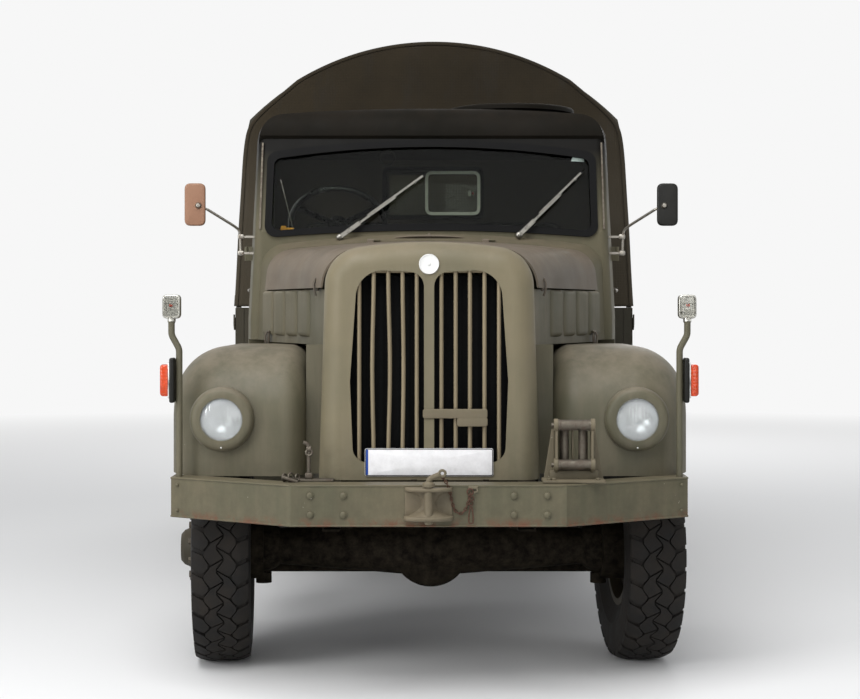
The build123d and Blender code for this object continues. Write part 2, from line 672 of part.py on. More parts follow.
# inside the cab
floor_z = cab_bottom + cab_wall
dash = box(-795, 795, screen_d + cab_wall + seat_gap, 1560, 1700, 1880)
dash += box(-795, 795, 1560, 1640, 1760, 1880)
wheel_x, wheel_d, wheel_z = -472.0, 1850.0, 2014.0
wheel_tilt = 48.0
column_length = 420.0
hand_wheel = Torus(236, 14) + Cylinder(48, 36)
for turn in (90, 210, 330):
    hand_wheel += Rot(0, 0, turn) * Pos(120, 0, 0) * Box(240, 26, 12)
hand_wheel += Pos(0, 0, -column_length / 2) * Cylinder(24, column_length)
hand_wheel = Pos(wheel_x, behind(wheel_d), wheel_z) * Rot(-wheel_tilt, 0, 0) * hand_wheel
hand_wheel = (hand_wheel - dash).solids().sort_by(Axis.Z)[-1]
save(hand_wheel, "steering_wheel")
seat_d = (2020.0, 2500.0)
seat_bases, cushions, backs = [], [], []
for x in (-450.0, 450.0):
    seat_bases.append(box(x - 230, x + 230, seat_d[0] + 30, seat_d[1] + 60, floor_z + seat_gap,
                          1500))
    cushion = box(x - 250, x + 250, seat_d[0], seat_d[1], 1500 + seat_gap, 1630)
    cushions.append(fillet(cushion.edges(), 35))
    back = box(x - 250, x + 250, seat_d[1] + seat_gap, seat_d[1] + 110, 1500 + seat_gap, 2080)
    backs.append(fillet(back.edges(), 35))
save(group(dash, *seat_bases), "cab_fittings")
save(group(*cushions, *backs), "seat_cushions")

# mirrors
mirror_x, mirror_d, mirror_z = 1109.0, 1300.0, 2085.0
arm_root_x, arm_root_d = 838.0, 1455.0
arm_end_d = mirror_d + 18
arm_path = ((arm_root_x, arm_root_d, 1850.0), (arm_root_x + 85, arm_root_d - 45, 1850.0),
            (mirror_x, arm_end_d, mirror_z - 60), (mirror_x, arm_end_d, mirror_z + 60))


def rod(points, radius):
    """A round rod along straight runs between points given as x, d, z."""
    run = [Vector(x, behind(d), z) for x, d, z in points]
    body = None
    for a, b in zip(run, run[1:]):
        stick = Plane(a, z_dir=(b - a)) * Pos(0, 0, (b - a).length / 2) * Cylinder(
            radius, (b - a).length)
        knob = Pos(*a) * Sphere(radius)
        body = stick + knob if body is None else body + stick + knob
    return body


mirror_plate = Pos(mirror_x, behind(mirror_d), mirror_z) * Box(98, 22, 200)
mirror_plate = fillet(mirror_plate.edges().filter_by(Axis.Y), 40)
mirror_arm = rod(arm_path, 9) - cab_outer
mirror_arm += rod(((arm_root_x, arm_root_d, 1944.0), (mirror_x, arm_end_d, mirror_z - 30)),
                  7) - cab_outer
save(pair(mirror_plate + mirror_arm), "mirrors")

# ---------------------------------------------------------------- load bed
mid_post_d = 5230.0
bearers_d = (bed_start_d + 55.0, 3900.0, 4640.0, mid_post_d, 5960.0, 6600.0, bed_end_d - 62.0)
sill_half_width = 40.0
post_half_d = 25.0
post_out = body_half_width - canvas
post_in = post_out - 47.0
bed_half = post_in + 11.0
posts_d = (bed_start_d + 25.0, mid_post_d, bed_end_d - 25.0)
frame_back_d = rail_end_d
bed_frame = None
for side in (-1, 1):
    x = side * (frame_half_width - sill_half_width)
    sill = box(x - sill_half_width, x + sill_half_width, bed_start_d + 10, frame_back_d,
               rail_top + seat_gap, sill_top)
    bed_frame = sill if bed_frame is None else bed_frame + sill
for d in bearers_d:
    bed_frame += box(-post_in, post_in, d - 30, d + 30, sill_top, bearer_top)
posts = [box(side * (post_in + seat_gap), side * post_out, d - post_half_d, d + post_half_d,
             sill_top, board_top) for d in posts_d for side in (-1, 1)]
floor_start, floor_end = bed_start_d + 36, bed_end_d - 56
bed_floor = box(-bed_half, bed_half, floor_start, floor_end, bearer_top + seat_gap, floor_top)
for d in posts_d:
    for side in (-1, 1):
        bed_floor -= box(side * (post_in - 2), side * 1200, d - post_half_d - 1,
                         d + post_half_d + 1, 1000, 1300)
save(bed_floor, "bed_floor")
headboard = box(-post_in, post_in, bed_start_d + 4, bed_start_d + 34, bearer_top + seat_gap,
                board_top)

board_low = bearer_top + swing_gap
board_hinge_x, board_hinge_z = post_out + 8.0, board_low + 3
board_eye_radius = 6.0
eye_length = 30.0
board_out = post_out
board_in = board_out - board_thickness
# board_spans: name, first and last d
board_spans = (("front", posts_d[0] + post_half_d + swing_gap, posts_d[1] - post_half_d - swing_gap),
               ("rear", posts_d[1] + post_half_d + swing_gap, posts_d[2] - post_half_d - swing_gap))
plank_groove = 6.0


def side_eye(d):
    """A hinge eye along a side board, starting at d."""
    return Pos(board_hinge_x, behind(d + eye_length / 2), board_hinge_z) * Rot(
        90, 0, 0) * Cylinder(board_eye_radius, eye_length)


def gate_eye(x):
    """A hinge eye along the tailgate, starting at x."""
    return Pos(x + eye_length / 2, behind(gate_hinge_d), board_hinge_z) * Rot(
        0, 90, 0) * Cylinder(board_eye_radius, eye_length)


strap_height = 100.0
gate_out_d = bed_end_d - 20
gate_hinge_d = gate_out_d + 8
gate_hinges_x = (-800.0, -15.0, 770.0)
side_hinges_d = (3885.0, 4625.0, 5945.0, 6585.0)
sockets = None
for d in side_hinges_d:
    socket = box(post_in - 5, board_hinge_x + 6, d, d + eye_length, bearer_top - 20, bearer_top)
    socket += box(board_hinge_x - 6, board_hinge_x + 6, d, d + eye_length, bearer_top - 20,
                  board_hinge_z) + side_eye(d)
    socket += mirror(socket, about=Plane.YZ)
    sockets = socket if sockets is None else sockets + socket
for x in gate_hinges_x:
    sockets += box(x, x + eye_length, bearers_d[-1], gate_hinge_d + 6, bearer_top - 20, bearer_top)
    sockets += box(x, x + eye_length, gate_hinge_d - 6, gate_hinge_d + 6, bearer_top - 20,
                   board_hinge_z) + gate_eye(x)
save(group(bed_frame + sockets, headboard, *posts), "bed_frame")
for place, d0, d1 in board_spans:
    board = box(board_in, board_out, d0, d1, board_low, board_top)
    for z in (board_low + 152, board_low + 305):
        board -= box(board_out - plank_groove, board_out + 1, d0, d1, z - 4, z + 4)
    for d in side_hinges_d:
        if d0 < d < d1:
            e = d + eye_length + seat_gap
            board += side_eye(e) + box(board_out - plank_groove, board_hinge_x, e, e + eye_length,
                                       board_hinge_z, board_hinge_z + strap_height)
    save(board, f"side_board_{place}_left")
    save(mirror(board, about=Plane.YZ), f"side_board_{place}_right")
gate_half = post_in - swing_gap
tailgate = box(-gate_half, gate_half, gate_out_d - board_thickness, gate_out_d, board_low, board_top)
for z in (board_low + 152, board_low + 305):
    tailgate -= box(-gate_half, gate_half, gate_out_d - plank_groove, gate_out_d + 1, z - 4, z + 4)
for x in gate_hinges_x:
    e = x + eye_length + seat_gap
    tailgate += gate_eye(e) + box(e, e + eye_length, gate_out_d - plank_groove, gate_hinge_d,
                                  board_hinge_z, board_hinge_z + strap_height)
save(tailgate, "tailgate")


def canvas_face(d, inset, low):
    """Cross-section of the canvas cover, inset by its thickness."""
    with BuildSketch(Plane.XZ.offset(-behind(d)), mode=Mode.PRIVATE) as section:
        with BuildLine():
            Polyline((-canvas_shoulder_half + 19 + inset, canvas_shoulder_z + 7 - inset),
                     (-body_half_width + 54 + inset, canvas_shoulder_z - 110 - inset / 3),
                     (-body_half_width + inset, low), (body_half_width - inset, low),
                     (body_half_width - 54 - inset, canvas_shoulder_z - 110 - inset / 3),
                     (canvas_shoulder_half - 19 - inset, canvas_shoulder_z + 7 - inset))
            ThreePointArc((canvas_shoulder_half - 19 - inset, canvas_shoulder_z + 7 - inset),
                          (0, canvas_top - inset),
                          (-canvas_shoulder_half + 19 + inset, canvas_shoulder_z + 7 - inset))
        make_face()
    return section.sketch


canvas_start_d = bed_start_d - canvas
curtain_low = 2600.0         # the rear curtain is rolled up to here
roll_radius = 62.0
canvas_cover = rearwards(canvas_face(canvas_start_d, 0, canvas_bottom), bed_end_d - canvas_start_d)
canvas_cover -= rearwards(canvas_face(bed_start_d, canvas, canvas_bottom - 1),
                          bed_end_d - canvas - bed_start_d)
canvas_cover -= rearwards(canvas_face(bed_end_d - 20, canvas, canvas_bottom - 1), 40) & box(
    -1200, 1200, bed_end_d - 30, bed_end_d + 30, 1500, curtain_low)
roll_length = 2 * (canvas_shoulder_half - 84)
canvas_cover += Pos(0, behind(bed_end_d - roll_radius - 2), curtain_low - 20) * Rot(
    0, 90, 0) * Cylinder(roll_radius, roll_length)
save(canvas_cover, "canvas_cover")
bow_size = 28.0
bow_gap = canvas + 1.0
bow_d = (bed_start_d + 22, 4200.0, mid_post_d, 6260.0, bed_end_d - 26)
rail_low, rail_high = 1626.0, 1652.0
roll_space = Pos(0, behind(bed_end_d - roll_radius - 2), curtain_low - 20) * Rot(
    0, 90, 0) * Cylinder(roll_radius + seat_gap, roll_length + 1)
bows = []
for d in bow_d:
    on_post = min(abs(d - p) for p in posts_d) < 10
    foot = board_top + seat_gap if on_post else rail_low
    bow = rearwards(canvas_face(d - bow_size / 2, bow_gap, foot), bow_size)
    bow -= rearwards(canvas_face(d - bow_size, bow_gap + bow_size, foot - 1), 2 * bow_size)
    bows.append(bow - roll_space)
rails = []
for d0, d1 in zip(bow_d, bow_d[1:]):
    for side in (-1, 1):
        rails.append(box(side * (post_in + 15), side * (post_out - 6), d0 + bow_size / 2 + seat_gap,
                         d1 - bow_size / 2 - seat_gap, rail_low, rail_high))
save(group(*bows, *rails), "canvas_bows")

# ---------------------------------------------------------------- wheels
# tyre_outline: half of the outline from bead to tread, as distance from the middle and radius
tyre_outline = ((84.0, rim_radius + seat_gap), (86.0, 280.0), (124.0, 345.0),
                (tyre_width / 2, 400.0), (124.0, 455.0), (112.0, 496.0), (92.0, tyre_radius))


def ring_of(points, closed=True):
    """A body turned about the X axis from (x, radius) points."""
    with BuildSketch(Plane.XZ, mode=Mode.PRIVATE) as half:
        Polygon(*points, align=None)
    return revolve(half.sketch, Axis.X)


tyre = ring_of([(-a, r) for a, r in tyre_outline] + [(a, r) for a, r in reversed(tyre_outline)])
# rim_rows: first and last x from the rim's middle, inner and outer radius; the disc bulges to +X
rim_barrel = ring_of([(-95, 238), (-95, 268), (-88, 268), (-84, rim_radius), (84, rim_radius),
                      (88, 268), (95, 268), (95, 238)])
rim_disc = ring_of([(30, 238.5), (44, 238.5), (100, 205), (138, 160), (146, 100), (132, 100),
                    (124, 158), (90, 198)])
disc_face = 146.0


def at_wheel(shape, x, d):
    """Puts a wheel piece, turned towards +X, at its axle."""
    return Pos(x, behind(d), axle_z) * shape


def turned(shape, x, d, angle):
    """Turns a piece about the upright kingpin at x."""
    return Pos(x, behind(d), 0) * Rot(0, 0, angle) * Pos(-x, -behind(d), 0) * shape


front_x = front_track / 2
spindle_radius, spindle_end = 40.0, 92.0
front_bore = spindle_radius + seat_gap
front_hub = ring_of([(-38, front_bore), (-38, 196), (60, 196), (60, 96), (disc_face - 14, 96),
                     (disc_face - 14, 118), (disc_face, 118), (disc_face, 92), (178, 78),
                     (194, 60), (194, 0), (spindle_end + 6, 0), (spindle_end + 6, front_bore)])
front_rim = rim_barrel + rim_disc + front_hub
front_places = (("left", 1), ("right", -1))
ball_radius = 112.0
knuckle_in, knuckle_out = 118.0, 146.0
arm_start = 94.0
kingpin_radius, kingpin_reach = 20.0, 152.0
eye_pin_radius = 10.0
arm_length = 200.0
arm_z = 420.0
rod_radius = 19.0
rod_drop = 38.0
for name, side in front_places:
    facing = Rot(0, 0, 0) if side > 0 else Rot(0, 0, 180)
    for part_name, shape in (("tyre", tyre), ("rim", front_rim)):
        placed = at_wheel(facing * shape, side * front_x, front_axle_d)
        save(turned(placed, side * kingpin_half, front_axle_d, parked_steer),
             f"{part_name}_front_{name}")
    pivot = Pos(side * kingpin_half, behind(front_axle_d), axle_z)
    cup = ring_of([(0, knuckle_in), (0, knuckle_out), (122, knuckle_out), (122, 186), (134, 186),
                   (134, 0), (knuckle_in + 1, 0), (knuckle_in + 1, knuckle_in)])
    spindle = Rot(0, 90, 0) * Cylinder(spindle_radius, front_x - kingpin_half + spindle_end - 130)
    cup += Pos((130 + front_x - kingpin_half + spindle_end) / 2, 0, 0) * spindle
    for way in (-1, 1):
        cup += Pos(0, 0, way * (knuckle_in + 24)) * Cylinder(36, 46)
        cup -= Pos(0, 0, way * (knuckle_in + 17)) * Cylinder(kingpin_radius + seat_gap, 44)
    cup = Rot(0, 0, 0 if side > 0 else 180) * cup
    arm = Pos(0, (arm_start + arm_length) / 2, arm_z - axle_z) * Box(
        50, arm_length - arm_start, 34)
    arm += Pos(0, arm_length, arm_z - axle_z + 8) * Cylinder(26, 50)
    knuckle = cup + arm - Pos(0, arm_length, arm_z - axle_z) * Cylinder(
        eye_pin_radius + seat_gap, 120)
    knuckle = pivot * Rot(0, 0, parked_steer) * knuckle
    save(knuckle, f"knuckle_{name}")
swing = radians(parked_steer)
rod_shift = -arm_length * sin(swing)
rod_d = front_axle_d + arm_length * cos(swing)
tie_rod = Pos(rod_shift, behind(rod_d), arm_z - rod_drop) * Rot(0, 90, 0) * Cylinder(
    rod_radius, 2 * kingpin_half - 40)
for side in (-1, 1):
    eye = Pos(side * kingpin_half + rod_shift, behind(rod_d), arm_z - rod_drop)
    tie_rod += eye * Cylinder(30, 30)
    tie_rod += eye * Pos(0, 0, 35) * Cylinder(eye_pin_radius, 70)
save(tie_rod, "tie_rod")

rear_x = rear_track / 2
half_pair = twin_spacing / 2
stub_radius, stub_end = 60.0, 760.0
rear_bore, bore_end = stub_radius + seat_gap, stub_end + 6 - rear_x
rear_hub = ring_of([(-290, rear_bore), (-290, 196), (-190, 196), (-190, 100), (-16, 100),
                    (-16, 120), (16, 120), (16, 96), (120, 84), (136, 60), (136, 0),
                    (bore_end, 0), (bore_end, rear_bore)])
outer_rim = Pos(half_pair, 0, 0) * (mirror(rim_barrel + rim_disc, about=Plane.YZ))
inner_rim = Pos(-half_pair, 0, 0) * (rim_barrel + rim_disc)
twin_rims = inner_rim + outer_rim + rear_hub
for name, side in front_places:
    facing = Rot(0, 0, 0 if side > 0 else 180)
    tyres = [at_wheel(facing * Pos(x, 0, 0) * tyre, side * rear_x, rear_axle_d)
             for x in (-half_pair, half_pair)]
    save(Compound(children=[s for t in tyres for s in t.solids()]), f"tyres_rear_{name}")
    save(at_wheel(facing * twin_rims, side * rear_x, rear_axle_d), f"rims_rear_{name}")
spare_z = 1480.0
spare_d = bed_start_d - 229.0
spare_place = Pos(0, behind(spare_d), spare_z) * Rot(0, 0, 90)
save(group(spare_place * tyre, spare_place * (rim_barrel + rim_disc)), "spare_wheel")
carrier = box(-frame_half_width, frame_half_width, spare_d - 71, spare_d + 71, rail_top + seat_gap,
              1010)
carrier -= spare_place * Rot(0, 90, 0) * Cylinder(tyre_radius + seat_gap, 400)

# ---------------------------------------------------------------- axles, springs, drive line
housing_radius, housing_end = 112.0, 80.0
banjo_radius = 177.0


def housing(half_length, end_radius):
    """An axle housing along X with a round bulge for its gears in the middle."""
    half = ring_of([(0, 0), (0, housing_radius + 22), (170, housing_radius + 10),
                    (half_length, end_radius), (half_length, 0)])
    body = half + mirror(half, about=Plane.YZ)
    bulge = Rot(90, 0, 0) * Cylinder(banjo_radius, 180)
    bulge = fillet(bulge.edges(), 40)
    return body + bulge


spring_x, spring_half = 394.0, 36.0
spring_reach = 600.0
pad_top = axle_z + 118.0
front_housing = housing(kingpin_half - 60, housing_end)
front_housing += Pos(0, 110, 0) * Rot(90, 0, 0) * Cylinder(70, 60)
for side in (-1, 1):
    front_housing += Pos(side * kingpin_half, 0, 0) * Sphere(ball_radius)
    front_housing += Pos(side * kingpin_half, 0, 0) * Cylinder(kingpin_radius, 2 * kingpin_reach)
    front_housing += Pos(side * spring_x, 0, 85) * Box(80, 130, 66)
front_housing = Pos(0, behind(front_axle_d), axle_z) * front_housing
save(front_housing, "front_axle")
rear_housing = housing(556, 96)
rear_housing += Pos(0, -110, 0) * Rot(90, 0, 0) * Cylinder(70, 60)
for side in (-1, 1):
    rear_housing += Pos(side * spring_x, 0, 85) * Box(80, 150, 66)
    rear_housing += Pos(side * 560, 0, 0) * Rot(0, 90, 0) * Cylinder(190, 12)
    rear_housing += Pos(side * (stub_end + 550) / 2, 0, 0) * Rot(0, 90, 0) * Cylinder(
        stub_radius, stub_end - 550)
rear_housing = Pos(0, behind(rear_axle_d), axle_z) * rear_housing
save(rear_housing, "rear_axle")


def spring(d):
    """One stack of leaves, bowed down at its middle."""
    top, low = rail_bottom - seat_gap, pad_top + seat_gap
    with BuildSketch(Plane.YZ, mode=Mode.PRIVATE) as side:
        with BuildLine():
            ThreePointArc((behind(d - spring_reach), top), (behind(d), low + 44),
                          (behind(d + spring_reach), top))
            Line((behind(d + spring_reach), top), (behind(d + spring_reach), top - 14))
            ThreePointArc((behind(d + spring_reach), top - 14), (behind(d), low),
                          (behind(d - spring_reach), top - 14))
            Line((behind(d - spring_reach), top - 14), (behind(d - spring_reach), top))
        make_face()
    return Pos(spring_x - spring_half, 0, 0) * extrude(side.sketch, 2 * spring_half)


springs = [s for d in (front_axle_d, rear_axle_d) for s in pair(spring(d)).solids()]
save(Compound(children=springs), "leaf_springs")
engine = box(-300, 300, 620, 1380, 722, 1560)
gearbox = box(-170, 170, 1380, 1900, 740, 1080)
transfer_case = box(-230, 230, 2120, 2580, 560, 860)
coupling = rod(((0, 1880, 800), (0, 2160, 706)), 36)
save(engine + gearbox + transfer_case + coupling, "engine_and_gearbox")
shaft_radius = 42.0
flange_radius, flange_depth = 62.0, 24.0


def shaft(d0, z0, d1, z1):
    """A tube between two upright flanges, from (d0, z0) to (d1, z1)."""
    a, b = Vector(0, behind(d0 + 16), z0), Vector(0, behind(d1 - 16), z1)
    tube = Plane(a, z_dir=b - a) * Pos(0, 0, (b - a).length / 2) * Cylinder(
        shaft_radius, (b - a).length)
    for d, z in ((d0 + flange_depth / 2, z0), (d1 - flange_depth / 2, z1)):
        tube += Pos(0, behind(d), z) * Rot(90, 0, 0) * Cylinder(flange_radius, flange_depth)
    return tube


pinion_reach = 140.0
front_shaft = shaft(front_axle_d + pinion_reach + seat_gap, axle_z, 2120 - seat_gap, 612)
rear_shaft = shaft(2580 + seat_gap, 612, rear_axle_d - pinion_reach - seat_gap, axle_z)
save(group(front_shaft, rear_shaft), "propeller_shafts")

# ---------------------------------------------------------------- what hangs on the frame
fuel_tank = box(500, 960, 3260, 4200, 600, 1010)
fuel_tank = fillet(fuel_tank.edges().filter_by(Axis.Y), 60)
for d in (3440, 4020):
    fuel_tank += box(frame_half_width + seat_gap, 520, d - 30, d + 30, 720, 880)
tool_box = box(-960, -500, 3260, 4100, 640, 1010)
for d in (3440, 3920):
    tool_box += box(-frame_half_width - seat_gap, -500, d - 30, d + 30, 720, 880)
tank_radius = 95.0
air_tanks = []
for x in (-210.0, 210.0):
    tank = Pos(x, behind(3250), 780) * Rot(90, 0, 0) * Cylinder(tank_radius, 760)
    tank = fillet(tank.edges(), 40)
    for d in (3000, 3500):
        end_x = frame_half_width - rail_wall - seat_gap
        hanger = box(x / abs(x) * 280, x / abs(x) * end_x, d - 20, d + 20, 760, 800)
        tank += hanger
    air_tanks += tank.solids()
muffler = Pos(-640, behind(2720), 700) * Rot(90, 0, 0) * Cylinder(90, 620)
muffler = fillet(muffler.edges(), 25)
muffler += Pos(-640, behind(3130), 700) * Rot(90, 0, 0) * Cylinder(30, 240)
muffler += Pos(-640, behind(2300), 700) * Rot(90, 0, 0) * Cylinder(30, 260)
muffler += box(-frame_half_width - seat_gap, -570, 2650, 2690, 720, 760)
save(group(fuel_tank, tool_box, *air_tanks, muffler), "tanks_and_muffler")
step_in, step_out = 560.0, 1010.0
step_start, step_end = 1850.0, 2330.0
step_treads_z = (640.0, 930.0)
steps = None
for d in (step_start, step_end - 12):
    leg = box(step_in + 180, step_out, d, d + 12, step_treads_z[0], step_treads_z[1] + 24)
    arm = box(frame_half_width + seat_gap, step_out, d, d + 12, 800, 880)
    steps = leg + arm if steps is None else steps + leg + arm
for z in step_treads_z:
    steps += box(step_in + 180, step_out, step_start, step_end, z, z + 24)
save(pair(steps), "cab_steps")
save(group(*cross_members, carrier), "cross_members")
# cab_mounts_d: distance, half-width that a mount reaches out to
cab_mounts_d = ((1700.0, 515.0), (2640.0, 700.0))
for d, reach in cab_mounts_d:
    frame_rail += box(frame_half_width - rail_flange, reach, d - 40, d + 40, rail_top - 2,
                      cab_bottom - seat_gap)
save(pair(frame_rail), "frame_rails")
flaps = [box(715, body_half_width - 20, d - 6, d + 6, 520, sill_top - seat_gap) for d in (4640.0, 5960.0)]
save(pair(group(*flaps)), "mud_flaps")
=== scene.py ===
import json
import math

import bmesh
import bpy
import numpy as np
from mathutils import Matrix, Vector

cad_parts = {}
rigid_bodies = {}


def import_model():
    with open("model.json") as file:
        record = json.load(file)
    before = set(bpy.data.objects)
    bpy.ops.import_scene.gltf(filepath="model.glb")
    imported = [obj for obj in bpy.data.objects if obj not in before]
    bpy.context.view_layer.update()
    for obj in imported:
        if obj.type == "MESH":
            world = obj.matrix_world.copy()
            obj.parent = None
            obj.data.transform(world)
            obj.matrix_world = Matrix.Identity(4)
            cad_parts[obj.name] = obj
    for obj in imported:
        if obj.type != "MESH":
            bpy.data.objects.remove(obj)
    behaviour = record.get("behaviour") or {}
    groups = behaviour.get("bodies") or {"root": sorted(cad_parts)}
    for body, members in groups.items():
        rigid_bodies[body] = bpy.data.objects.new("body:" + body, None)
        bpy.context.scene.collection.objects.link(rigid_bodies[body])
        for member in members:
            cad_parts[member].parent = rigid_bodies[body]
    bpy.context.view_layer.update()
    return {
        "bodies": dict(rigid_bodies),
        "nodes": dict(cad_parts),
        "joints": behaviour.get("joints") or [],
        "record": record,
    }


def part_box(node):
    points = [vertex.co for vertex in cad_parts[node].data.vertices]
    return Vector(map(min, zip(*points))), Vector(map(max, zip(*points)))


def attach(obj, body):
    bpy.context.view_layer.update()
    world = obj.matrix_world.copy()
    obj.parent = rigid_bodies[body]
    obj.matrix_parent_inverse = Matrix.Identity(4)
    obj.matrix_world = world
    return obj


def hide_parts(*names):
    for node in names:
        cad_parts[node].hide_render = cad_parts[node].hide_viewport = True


print("truck: loading the frame")
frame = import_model()
nodes = frame["nodes"]
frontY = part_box("front_bumper")[0].y      # metres; every distance below is counted back from here
tau = 2 * math.pi
rng = np.random.default_rng(41)


# shapes: every part is (points, faces), in mm as (x, distance behind the bumper, z)

def grid(points, closeRows=False, closeColumns=False):
    # quads between neighbouring rows and columns of a (rows, columns, 3) array of points
    rows, columns = points.shape[:2]
    i = np.arange(rows if closeRows else rows - 1)[:, None]
    j = np.arange(columns if closeColumns else columns - 1)[None, :]
    nextI, nextJ = (i + 1) % rows, (j + 1) % columns
    corners = (i * columns + j, i * columns + nextJ, nextI * columns + nextJ, nextI * columns + j)
    faces = np.stack(np.broadcast_arrays(*corners), -1).reshape(-1, 4)
    return points.reshape(-1, 3), faces


def roundCorners(points, radius, steps=5, closed=False):
    # each corner becomes a parabola from a radius before it to a radius after it
    p = np.array(points, float)
    t = np.linspace(0, 1, steps)[None, :, None]
    ends = []
    for neighbour in (np.roll(p, 1, 0), np.roll(p, -1, 0)):
        way = neighbour - p
        length = np.linalg.norm(way, axis=1, keepdims=True) + 1e-9
        ends.append(p + way / length * np.minimum(radius, 0.45 * length))
    a, b = ends
    curve = (1 - t) ** 2 * a[:, None] + 2 * t * (1 - t) * p[:, None] + t ** 2 * b[:, None]
    if closed:
        return curve.reshape(-1, p.shape[1])
    return np.concatenate([p[:1], curve[1:-1].reshape(-1, p.shape[1]), p[-1:]])


def circle(radius, steps=16):
    # points at equal angles round the origin
    t = np.arange(steps) * tau / steps
    return radius * np.stack([np.cos(t), np.sin(t)], -1)


def roundedRect(width, height, radius, steps=4):
    # a rectangle about the origin with rounded corners
    w, h = width / 2, height / 2
    return roundCorners([(w, h), (-w, h), (-w, -h), (w, -h)], radius * 1.2, steps, closed=True)


def lathe(profile, steps=32, closeProfile=False):
    # (along, radius) pairs turned about X: x = along, y = radius cos t, z = radius sin t
    along, radius = np.array(profile, float).T
    t = np.arange(steps) * tau / steps
    x = np.broadcast_to(along[:, None], (len(along), steps))
    points = np.stack([x, radius[:, None] * np.cos(t), radius[:, None] * np.sin(t)], -1)
    return grid(points, closeProfile, True)


def sweep(path, outline, closed=False, up=(0, 0, 1)):
    # an outline of (sideways, upwards) offsets carried along a path, square to it all the way
    path, outline = np.array(path, float), np.array(outline, float)
    ahead = np.roll(path, -1, 0) - np.roll(path, 1, 0) if closed else np.gradient(path, axis=0)
    ahead /= np.linalg.norm(ahead, axis=1, keepdims=True)
    side = np.cross(ahead, up)
    if not closed:
        # the first direction is carried along, so that the outline doesn't twist at a bend
        if np.linalg.norm(side[0]) < 0.05:
            side[0] = np.cross(ahead[0], (0.0, 1.0, 0.1))
        for k in range(1, len(side)):
            side[k] = side[k - 1] - (side[k - 1] @ ahead[k]) * ahead[k]
            side[k] /= np.linalg.norm(side[k])
    side /= np.linalg.norm(side, axis=1, keepdims=True)
    rise = np.cross(side, ahead)
    across, upwards = outline[:, 0, None] * side[:, None], outline[:, 1, None] * rise[:, None]
    rings = path[:, None] + across + upwards
    if not closed:
        ends = [np.broadcast_to(rings[k].mean(0), rings[:1].shape) for k in (0, -1)]
        rings = np.concatenate([ends[0], rings, ends[1]])
    return grid(rings, closed, True)


def rod(points, radius, bend=0.0, sides=10, up=(0, 0, 1)):
    # a round bar along straight runs with rounded bends
    path = roundCorners(points, bend, 6) if bend else np.array(points, float)
    return sweep(path, circle(radius, sides), up=up)


def slab(outline, low, high, edge=1.0, steps=3):
    # a flat outline raised in z from low to high, its two rims rounded by edge
    outline = np.array(outline, float)
    way = np.roll(outline, -1, 0) - np.roll(outline, 1, 0)
    outward = np.stack([way[:, 1], -way[:, 0]], -1)
    outward /= np.linalg.norm(outward, axis=1, keepdims=True) + 1e-9
    centre = outline.mean(0)
    outward *= np.sign(((outline - centre) * outward).sum())
    a = np.linspace(0, math.pi / 2, steps + 1)
    inset = np.concatenate([edge * (1 - np.sin(a)), edge * (1 - np.cos(a))])
    height = np.concatenate([low + edge * (1 - np.cos(a)), high - edge * (1 - np.sin(a))])
    rows = outline[None] - outward[None] * inset[:, None, None]
    rows = np.concatenate([np.broadcast_to(centre, rows[:1].shape), rows,
                           np.broadcast_to(centre, rows[:1].shape)])
    height = np.concatenate([[low], height, [high]])
    z = np.broadcast_to(height[:, None, None], rows.shape[:2] + (1,))
    return grid(np.concatenate([rows, z], -1), False, True)


def block(width, depth, height, edge=2.0):
    # a box about the origin with rounded edges
    return slab(roundedRect(width, depth, edge + 0.5, 3), -height / 2, height / 2, edge, 2)


def turned(part, x=0, y=0, z=0):
    # turned by degrees about X, then Y, then Z
    points = part[0]
    for angle, (a, b) in ((x, (1, 2)), (y, (2, 0)), (z, (0, 1))):
        if angle:
            points = points.copy()
            c, s = math.cos(math.radians(angle)), math.sin(math.radians(angle))
            pa, pb = points[:, a].copy(), points[:, b].copy()
            points[:, a], points[:, b] = c * pa - s * pb, s * pa + c * pb
    return points, part[1]


def moved(part, x=0.0, d=0.0, z=0.0):
    return part[0] + (x, d, z), part[1]


def joined(parts):
    # several parts as one
    starts = np.cumsum([0] + [len(p[0]) for p in parts[:-1]])
    faces = [f + s for (_, f), s in zip(parts, starts)]
    return np.concatenate([p[0] for p in parts]), np.concatenate(faces)


def repeated(part, places):
    # a copy of the part at each (x, d, z)
    places = np.array(places, float).reshape(-1, 3)
    points = (part[0][None] + places[:, None]).reshape(-1, 3)
    faces = (part[1][None] + (np.arange(len(places)) * len(part[0]))[:, None, None]).reshape(-1, 4)
    return points, faces


def mirrored(part):
    return part[0] * (-1, 1, 1), part[1][:, ::-1]


def onSide(parts, side):
    # parts made for the left side, or mirrored for the right
    return parts if side > 0 else [mirrored(p) for p in parts]


def bothSides(parts):
    return list(parts) + [mirrored(p) for p in parts]


def bolt(radius=14, height=10):
    # a domed head standing on the origin, facing forwards
    profile = [(0, 0), (0, radius), (height * 0.45, radius), (height * 0.8, radius * 0.78),
               (height, radius * 0.4), (height, 0)]
    return turned(lathe(profile, 14), z=-90)


def hexNut(radius=14, height=11):
    # a six-sided head standing on the origin, facing forwards
    return turned(slab(circle(radius, 6), 0, height, 1.2, 1), x=90)


